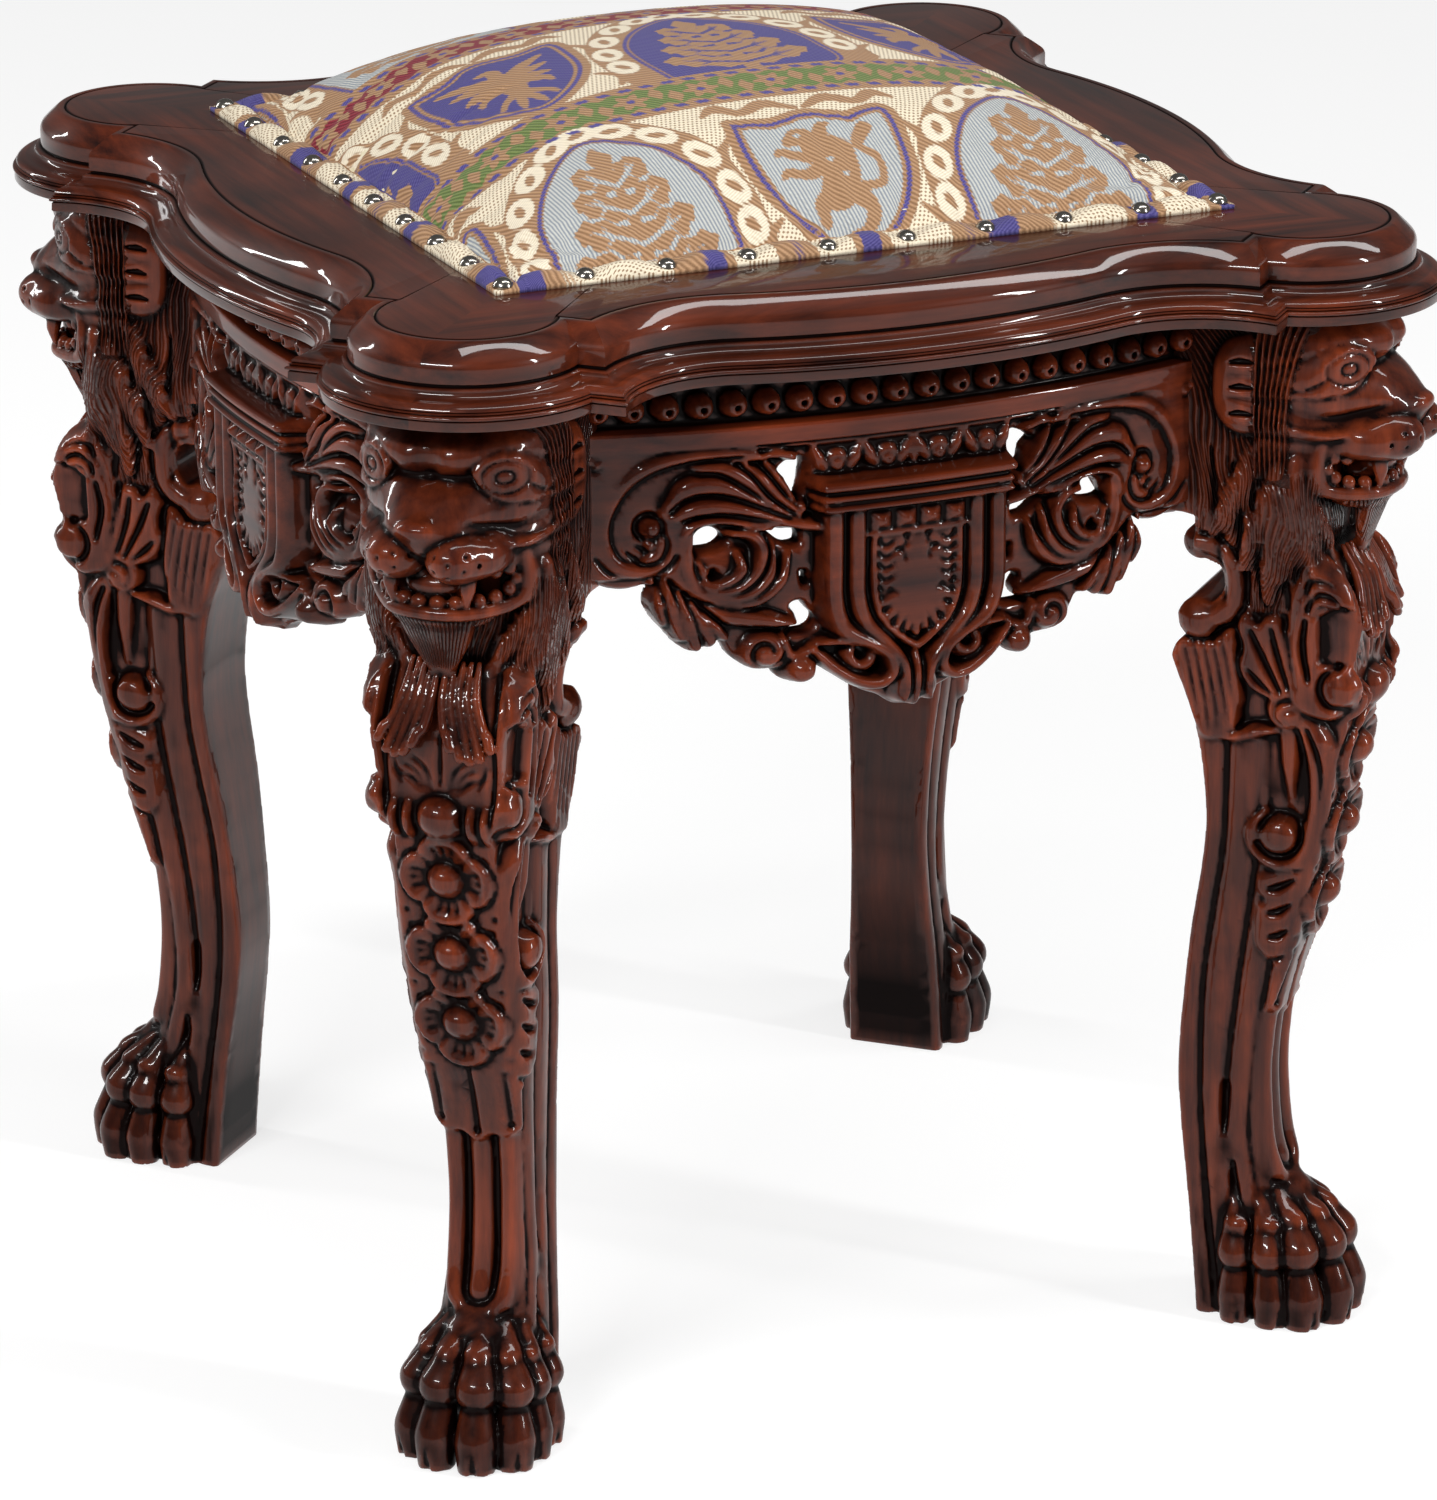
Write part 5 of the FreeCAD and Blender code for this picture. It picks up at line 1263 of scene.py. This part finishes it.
# lengths along the cloth from its middle, so that the pattern keeps its size on the slopes
warp, weft = (np.zeros((fine, fine)) for _ in range(2))
warp[1:] = np.cumsum(np.linalg.norm(np.diff(cover_top, axis=0), axis=2), axis=0)
weft[:, 1:] = np.cumsum(np.linalg.norm(np.diff(cover_top, axis=1), axis=2), axis=1)
warp -= warp[fine // 2]
weft -= weft[:, fine // 2][:, None]
cover = closed_sheet("tapestry_cover", cover_top.reshape(-1, 3), quads, rim_of(fine), TOP_Z)

# one repeat of the pattern: a row of arches and shields, then a stripe; off is far outside an outline
REPEAT = 176.0
ROW_FOOT = -166.0
ROW_HEIGHT = 122.0
STRIPE_MIDDLE = 107.0
OFF = -9.0
row = np.floor((weft - ROW_FOOT) / ROW_HEIGHT).astype(int)
rise = weft - ROW_FOOT - row * ROW_HEIGHT
odd_row = row % 2 == 1
from_arch = (warp + np.where(odd_row, 0, REPEAT / 2) + REPEAT / 2) % REPEAT - REPEAT / 2
from_shield = (warp + np.where(odd_row, REPEAT / 2, 0) + REPEAT / 2) % REPEAT - REPEAT / 2


def ink(plan, layer, path, width):
    """Draw a stroke into a layer of distances over a plan."""
    win, gap, place, _ = plan.near(path, np.max(width) + 4)
    layer[win] = np.maximum(layer[win], spread(width, place) - gap)


def oval(plan, centre, radii, turn=0.0):
    """Distances to an ellipse, above zero inside."""
    a = np.radians(turn)
    x, y = plan.x - centre[0], plan.y - centre[1]
    far = np.hypot((x * np.cos(a) + y * np.sin(a)) / radii[0], (y * np.cos(a) - x * np.sin(a)) / radii[1])
    return (1 - far) * min(radii)


def read(plan, layer, x, y):
    """Values of a layer at places on its plan, well below zero off it."""
    i = x - plan.axes[0][0]
    j = y - plan.axes[1][0]
    on = (i >= 0) & (j >= 0) & (i < layer.shape[0] - 1) & (j < layer.shape[1] - 1)
    i, j = np.where(on, i, 0), np.where(on, j, 0)
    a, b = i.astype(int), j.astype(int)
    s, t = i - a, j - b
    low = layer[a, b] * (1 - s) + layer[a + 1, b] * s
    high = layer[a, b + 1] * (1 - s) + layer[a + 1, b + 1] * s
    return np.where(on, low * (1 - t) + high * t, OFF)


# arch: a pointed window with an oak tree in it, inside a chain of links
arch_plan = Relief(np.arange(-60.0, 61), np.arange(-2.0, 102), OFF)
window = -arch_plan.inside([(-34, 0), (-36, 24), (-34, 44), (-25, 62), (-12, 76), (0, 83), (12, 76),
                            (25, 62), (34, 44), (36, 24), (34, 0), (0, -2)])
tree, veins, chain, links_hole = (np.full(window.shape, OFF) for _ in range(4))
ink(arch_plan, tree, [(0, -2), (0, 30), (0, 66)], (3.4, 2.4, 1.6))
for side in (-1, 1):
    for bough in range(4):
        foot = 7 + 15.0 * bough
        reach = 29 - 5.2 * bough
        path = [(0, foot), (0.45 * side * reach, foot + 5), (0.8 * side * reach, foot + 10),
                (side * reach, foot + 12)]
        ink(arch_plan, tree, path, (2.4, 7.4, 5.2, 8.0, 4.6, 6.2, 1.4))
        ink(arch_plan, veins, path[:3], (1.1, 1.0, 0.5))
        ink(arch_plan, veins, [path[1], (0.6 * side * reach, foot + 11)], (0.8, 0.4))
        ink(arch_plan, veins, [path[1], (0.62 * side * reach, foot + 2)], (0.8, 0.4))
ink(arch_plan, tree, [(0, 62), (0, 70), (0, 78)], (2, 5.4, 1))
tree = np.minimum(np.minimum(tree, -veins), window - 1.2)
rail = line_through([(-45, 2), (-46, 26), (-43, 48), (-32, 70), (-15, 86), (0, 92), (15, 86), (32, 70),
                     (43, 48), (46, 26), (45, 2)], 12)
for before, middle, after in zip(rail[:-2], rail[1:-1], rail[2:]):
    turn = np.degrees(np.arctan2(*(after - before)[::-1]))
    chain = np.maximum(chain, oval(arch_plan, middle, (8.8, 6.0), turn))
    links_hole = np.maximum(links_hole, oval(arch_plan, middle, (4.2, 2.1), turn + 24))
chain = np.minimum(chain, -links_hole)
arch_band = window + 17

# shields: a lion or an eagle, inside a double border
shield_plan = Relief(np.arange(-46.0, 47), np.arange(-2.0, 98), OFF)
heater = -shield_plan.inside([(-32, 74), (-16, 71), (0, 75), (16, 71), (32, 74), (33, 54), (29, 32),
                              (17, 13), (0, 2), (-17, 13), (-29, 32), (-33, 54)])
lion, eagle, scrolls = (np.full(heater.shape, OFF) for _ in range(3))
for path, width in (
    ([(-3, 30), (2, 40), (3, 52)], (7.0, 7.6, 8.4)),
    ([(-2, 54), (-8, 60), (-13, 59)], (8.0, 6.0, 3.0)),
    ([(-2, 51), (-11, 50), (-18, 54), (-21, 52)], (3.4, 2.6, 2.2, 1.2)),
    ([(-3, 46), (-12, 41), (-19, 43), (-22, 41)], (3.4, 2.6, 2.2, 1.2)),
    ([(-3, 31), (-11, 26), (-12, 18), (-18, 17)], (5.4, 3.4, 2.4, 1.6)),
    ([(3, 32), (9, 23), (5, 14), (-2, 12)], (6.0, 3.4, 2.4, 1.6)),
    ([(7, 33), (17, 34), (20, 45), (14, 54), (20, 63)], (2.2, 1.9, 1.9, 2.4, 3.4)),
    ([(1, 62), (3, 66), (6, 67)], (3.2, 2.6, 1.0)),
):
    ink(shield_plan, lion, path, width)
for place in ((-9, 61.5), (0, 48), (4, 40)):
    lion = np.minimum(lion, -oval(shield_plan, place, (1.6, 1.3)))
ink(shield_plan, eagle, [(0, 22), (0, 36), (0, 50)], (3.0, 6.6, 4.0))
ink(shield_plan, eagle, [(0, 50), (0, 58), (-6, 59)], (3.0, 3.4, 1.0))
for side in (-1, 1):
    for feather in range(4):
        tip = (side * (23 - 2.6 * feather), 62 - 11 * feather)
        ink(shield_plan, eagle, [(4 * side, 48 - 3.4 * feather), (13 * side, 55 - 7 * feather), tip],
            (2.6, 3.0, 1.2))
    ink(shield_plan, eagle, [(2 * side, 26), (9 * side, 20), (12 * side, 15)], (2.4, 1.8, 1.4))
    ink(shield_plan, eagle, [(side, 24), (3.4 * side, 15), (4.6 * side, 9)], (2.0, 2.2, 1.0))
    ink(shield_plan, scrolls, [(2 * side, 80), (13 * side, 86), (24 * side, 81), (33 * side, 87),
                               (40 * side, 82)], (1.6, 3.6, 2.6, 3.4, 1.0))
    ink(shield_plan, scrolls, [(36 * side, 66), (42 * side, 56), (38 * side, 46)], (1.0, 3.0, 1.0))
    ink(shield_plan, scrolls, [(30 * side, 22), (38 * side, 14), (34 * side, 4)], (1.0, 3.2, 1.2))
field = heater - 3.6


def in_arches(layer):
    """A layer of the arch, wherever an arch comes on the cloth."""
    return read(arch_plan, layer, from_arch, rise)


def in_shields(layer):
    """A layer of the shield, wherever a shield comes on the cloth."""
    return read(shield_plan, layer, from_shield, rise)


charges = np.where(odd_row, in_shields(eagle), in_shields(lion))
charges = np.minimum(charges, in_shields(field) - 1.0)

# stripe: florets on a wavy band, with a row of checks along each edge
STRIPE_PITCH = REPEAT / 6
beside = (warp + STRIPE_PITCH / 2) % STRIPE_PITCH - STRIPE_PITCH / 2
above = rise - STRIPE_MIDDLE
floret_turn = np.arctan2(above, beside)
floret = 7.6 * (0.78 + 0.22 * np.cos(6 * floret_turn)) - np.hypot(beside, above)
leaves = 3.4 - abs(abs(beside) - 11.5) - 0.55 * abs(above - 2.5 * np.sign(beside))
stripe = 8.6 + 1.3 * np.sin(warp * 2 * np.pi / 11) - abs(above)
checks = np.minimum(1.3 - abs(abs(above) - 11.6), 2.5 - abs((warp + above * 0.6) % 9 - 4.5))
ground = np.maximum(in_arches(window), in_shields(field))
free = np.minimum(-in_arches(arch_band), -in_shields(heater + 3.4))
border = 0.9 - abs(in_shields(heater) - 1.0)
edging = 0.8 - abs(in_arches(window) + 1.6)
sprigs = np.minimum(np.maximum(floret, leaves), stripe + 2)
layers = {
    "cream": np.minimum(free, 45.0 - abs(rise - 46)),
    "sky": np.where(odd_row, OFF, ground),
    "violet": np.where(odd_row, ground, OFF),
    "green": np.where(odd_row, OFF, stripe),
    "wine": np.where(odd_row, stripe, OFF),
    "tan": np.maximum.reduce([in_arches(tree), charges, in_shields(scrolls), sprigs]),
    "chain": in_arches(chain),
    "line": np.maximum.reduce([checks, border, edging, 1.7 - np.hypot(beside, above)]),
}
# the hem is folded from another part of the cloth, with cream and violet patches
hem = HEM_BAND - HEM_HALF + np.maximum(abs(cx), abs(cy))
along_hem = np.where(abs(cx) > abs(cy), cy, cx)
patch = np.sin(along_hem / 7.3 + 1.9 * np.sin(along_hem / 27 + 0.8)) + 0.22 * np.sin(along_hem / 3.1 + 2)
layers = {name: np.where(hem > 0, OFF, values) for name, values in layers.items()}
layers["cream"] = np.where(hem > 0, 6 * (0.15 - patch), layers["cream"])
layers["violet"] = np.where(hem > 0, 6 * (patch - 0.72), layers["violet"])
layers["tan"] = np.where(hem > 0, 2.2 - 6 * abs(patch - 0.42), layers["tan"])
skirt_rows = rim_of(fine)
for name, values in {**layers, "warp": warp, "weft": weft}.items():
    values = np.clip(values, OFF, -OFF) if name in layers else values
    mark(cover, name, np.concatenate([values.ravel(), values.ravel()[skirt_rows]]))


def tapestry():
    """Jacquard weave: colours laid one over another where their distances are above zero, with ribs and
    speckles. Along the ribs tan, green and wine turn dark and light, partly the yarns' own colour and
    partly painted shade of the ribs."""
    cloth = Finish("tapestry")

    def ripple(pitch, across, up):
        """A wave of a given pitch in millimetres across the cloth, from -1 to 1."""
        aside = cloth.maths("MULTIPLY", cloth.value("warp"), across)
        place = cloth.maths("ADD", aside, cloth.maths("MULTIPLY", cloth.value("weft"), up))
        return cloth.maths("SINE", cloth.maths("MULTIPLY", place, 2 * np.pi / pitch))

    def clamped(given):
        """A value held between 0 and 1."""
        return cloth.add("Clamp", "Result", {"Value": given})

    ribs = ripple(1.9, 0.75, 0.66)
    threads = ripple(1.1, 0.5, -0.87)
    fine_lines = ripple(1.5, 1.0, 0.15)
    dots = cloth.maths("MULTIPLY", ripple(2.7, 0.9, 0.44), ripple(2.3, -0.5, 0.87))
    step = cloth.maths("MULTIPLY", ribs, 0.30)

    def share(name):
        """How far a layer covers a place, from 0 to 1, with its edge stepped by the ribs."""
        edge = cloth.maths("ADD", cloth.value(name), step)
        return clamped(cloth.maths("MULTIPLY_ADD", edge, 1.6, 0.5))

    def tone(dark, light, wave):
        """A colour that goes from dark to light with a wave of the weave."""
        return cloth.over((*dark, 1), (*light, 1), cloth.maths("MULTIPLY_ADD", wave, 0.5, 0.5))

    speckle = clamped(cloth.maths("MULTIPLY_ADD", dots, 2.2, -0.35))
    cream = cloth.over((0.77, 0.68, 0.52, 1), (0.30, 0.20, 0.12, 1), speckle)
    # tan, green and wine go dark and light along the ribs: partly the yarns' own colour, partly painted
    # shade of the ribs
    tan = tone((0.240, 0.132, 0.067), (0.445, 0.264, 0.147), ribs)
    colour = tan
    for name, yarn in (
        ("cream", cream),
        ("sky", tone((0.215, 0.245, 0.285), (0.55, 0.55, 0.51), fine_lines)),
        ("violet", tone((0.050, 0.042, 0.165), (0.100, 0.086, 0.255), threads)),
        ("green", tone((0.085, 0.125, 0.035), (0.185, 0.240, 0.080), ribs)),
        ("wine", tone((0.130, 0.012, 0.022), (0.270, 0.035, 0.050), ribs)),
        ("tan", tan),
        ("chain", tone((0.66, 0.57, 0.42), (0.82, 0.74, 0.60), threads)),
        ("line", tone((0.055, 0.045, 0.185), (0.105, 0.090, 0.300), threads)),
    ):
        colour = cloth.over(colour, yarn, share(name))
    height = cloth.maths("ADD", cloth.maths("MULTIPLY", ribs, 0.5), cloth.maths("MULTIPLY", threads, 0.2))
    height = cloth.maths("ADD", height, cloth.maths("MULTIPLY", share("tan"), 0.7))
    return cloth.done({
        "Base Color": colour,
        "Normal": cloth.bump(height, 0.7, 0.00035),
        "Roughness": 0.85,
        "Specular IOR Level": 0.15,
        "Sheen Weight": 0.06,
    })


cover.data.materials.append(tapestry())
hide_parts("seat_cover")
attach(cover, "root")

# Nails: thirty-six domed nickel heads, evenly round the hem with one on each corner. They are stamped
# caps on steel pins, driven through the cloth into the top, and one dome here is copied round.

NAIL_RADIUS = 4.1
NAIL_RISE = 3.9
NAIL_TURNS = 24
turns = np.linspace(0, 2 * np.pi, NAIL_TURNS, endpoint=False)
lifts = np.radians([0, 14, 28, 42, 56, 70, 82])[:, None]
wide = NAIL_RADIUS * np.cos(lifts)
tall = NAIL_RISE * np.sin(lifts) * np.ones(NAIL_TURNS)
dome = np.stack([wide * np.cos(turns), wide * np.sin(turns), tall], -1).reshape(-1, 3)
dome_faces = []
for first in range(0, len(dome) - NAIL_TURNS, NAIL_TURNS):
    for i in range(NAIL_TURNS):
        a, b = first + i, first + (i + 1) % NAIL_TURNS
        dome_faces.append([a, b, b + NAIL_TURNS, a + NAIL_TURNS])
dome_faces += [list(range(len(dome) - NAIL_TURNS, len(dome))), list(range(NAIL_TURNS))[::-1]]
nail_points = []
nail_faces = []
for angle in SIDES.values():
    for place in -NAIL_PLACE + nail_pitch * np.arange(NAILS_PER_SIDE):
        nail_faces += [[k + len(nail_points) * len(dome) for k in face] for face in dome_faces]
        nail_points.append(dome + np.array([place, -NAIL_PLACE, HEM_Z]) @ turned_by(angle))
nails = built("nail_heads", np.vstack(nail_points), nail_faces)
nickel = plain("polished_nickel", ((0.30, 0.28, 0.25), (0.38, 0.355, 0.32)), 0.2, 1.0, (900, 900, 900))
nails.data.materials.append(nickel)
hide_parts("seat_nails")
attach(nails, "root")

# Joinery under the top: corner blocks of plain wood, screwed to the legs and up into the rails with steel
# screws, and the loose tongues glued into the mitres. The solids are shown as built, with a finish.

for corner in CORNERS:
    dress(f"corner_block_{corner}", hidden_wood)
dress("mitre_tongues", hidden_wood)
steel = plain("screw_steel", ((0.42, 0.40, 0.36), (0.52, 0.50, 0.46)), 0.35, 1.0, (500, 500, 500))
dress("block_screws", steel)
dress("top_screws", steel)

# Room: a sheet of white paper for the floor, soft lamps and a camera where the photograph was taken from.
# The paper looks white to the camera, with its shadows at part strength.

PAPER_HALF = 9
PAPER_WHITE = 0.92
PAPER_GLOW = 0.74
PAPER_SHADE = 0.30
floor = bpy.data.meshes.new("floor")
paper_corners = [(x * PAPER_HALF, y * PAPER_HALF, 0) for x, y in ((-1, -1), (1, -1), (1, 1), (-1, 1))]
floor.from_pydata(paper_corners, [], [(0, 1, 2, 3)])
paper = Finish("paper")
path = paper.nodes.new("ShaderNodeLightPath")
seen = path.outputs["Is Camera Ray"]
for ray in ("Is Glossy Ray", "Is Transmission Ray"):
    seen = paper.maths("MAXIMUM", seen, path.outputs[ray])
floor.materials.append(paper.done({
    "Base Color": paper.over((*[PAPER_WHITE] * 3, 1), (*[PAPER_SHADE] * 3, 1), seen),
    "Roughness": 0.9,
    "Emission Color": (1, 1, 1, 1),
    "Emission Strength": paper.maths("MULTIPLY", seen, PAPER_GLOW),
}))
shown("floor", floor)

world = bpy.data.worlds.new("studio")
bpy.context.scene.world = world
world.use_nodes = True
sky = world.node_tree.nodes["Background"]
sky.inputs["Color"].default_value = (1, 1, 1, 1)
sky.inputs["Strength"].default_value = 0.16


def lamp(name, place, aim, size, power):
    """A soft rectangular lamp at a place, turned to a point."""
    data = bpy.data.lights.new(name, "AREA")
    data.shape = "RECTANGLE"
    data.size, data.size_y = size
    data.energy = power
    obj = shown(name, data)
    obj.location = place
    obj.rotation_euler = (Vector(aim) - Vector(place)).to_track_quat("-Z", "Y").to_euler()


lamp("key", (-1.9, -1.5, 1.9), (0, 0, 0.3), (1.2, 0.18), 56)
lamp("fill", (1.7, -2.0, 1.3), (0, 0, 0.25), (0.16, 1.1), 40)
lamp("top", (0.9, -0.55, 2.3), (0.9, 0, 0.4), (2.8, 0.22), 26)
lamp("rim", (-1.6, 1.9, 1.2), (0, 0, 0.25), (0.14, 1.4), 22)

AZIMUTH, ELEVATION, ROLL = np.radians([-23.58, 18.78, -0.16])
CAMERA_PLACE = (-1.2101, -2.7793, 1.2350)
SENSOR = 36.0
FOCAL_PIXELS = 7942.5
PHOTO_HEIGHT = 1500
level = np.cos(ELEVATION)
away = np.array([np.sin(AZIMUTH) * level, -np.cos(AZIMUTH) * level, np.sin(ELEVATION)])
right = np.cross([0, 0, 1], away)
right /= np.linalg.norm(right)
up = np.cross(away, right)
right, up = right * np.cos(ROLL) + up * np.sin(ROLL), up * np.cos(ROLL) - right * np.sin(ROLL)
camera = bpy.data.cameras.new("camera")
camera.sensor_fit = "VERTICAL"
camera.sensor_height = SENSOR
camera.lens = SENSOR * FOCAL_PIXELS / PHOTO_HEIGHT
eye = shown("camera", camera)
pose = np.eye(4)
pose[:3] = np.column_stack([right, up, away, CAMERA_PLACE])
eye.matrix_world = Matrix(pose)
bpy.context.scene.camera = eye
bpy.context.scene.view_settings.view_transform = "Standard"
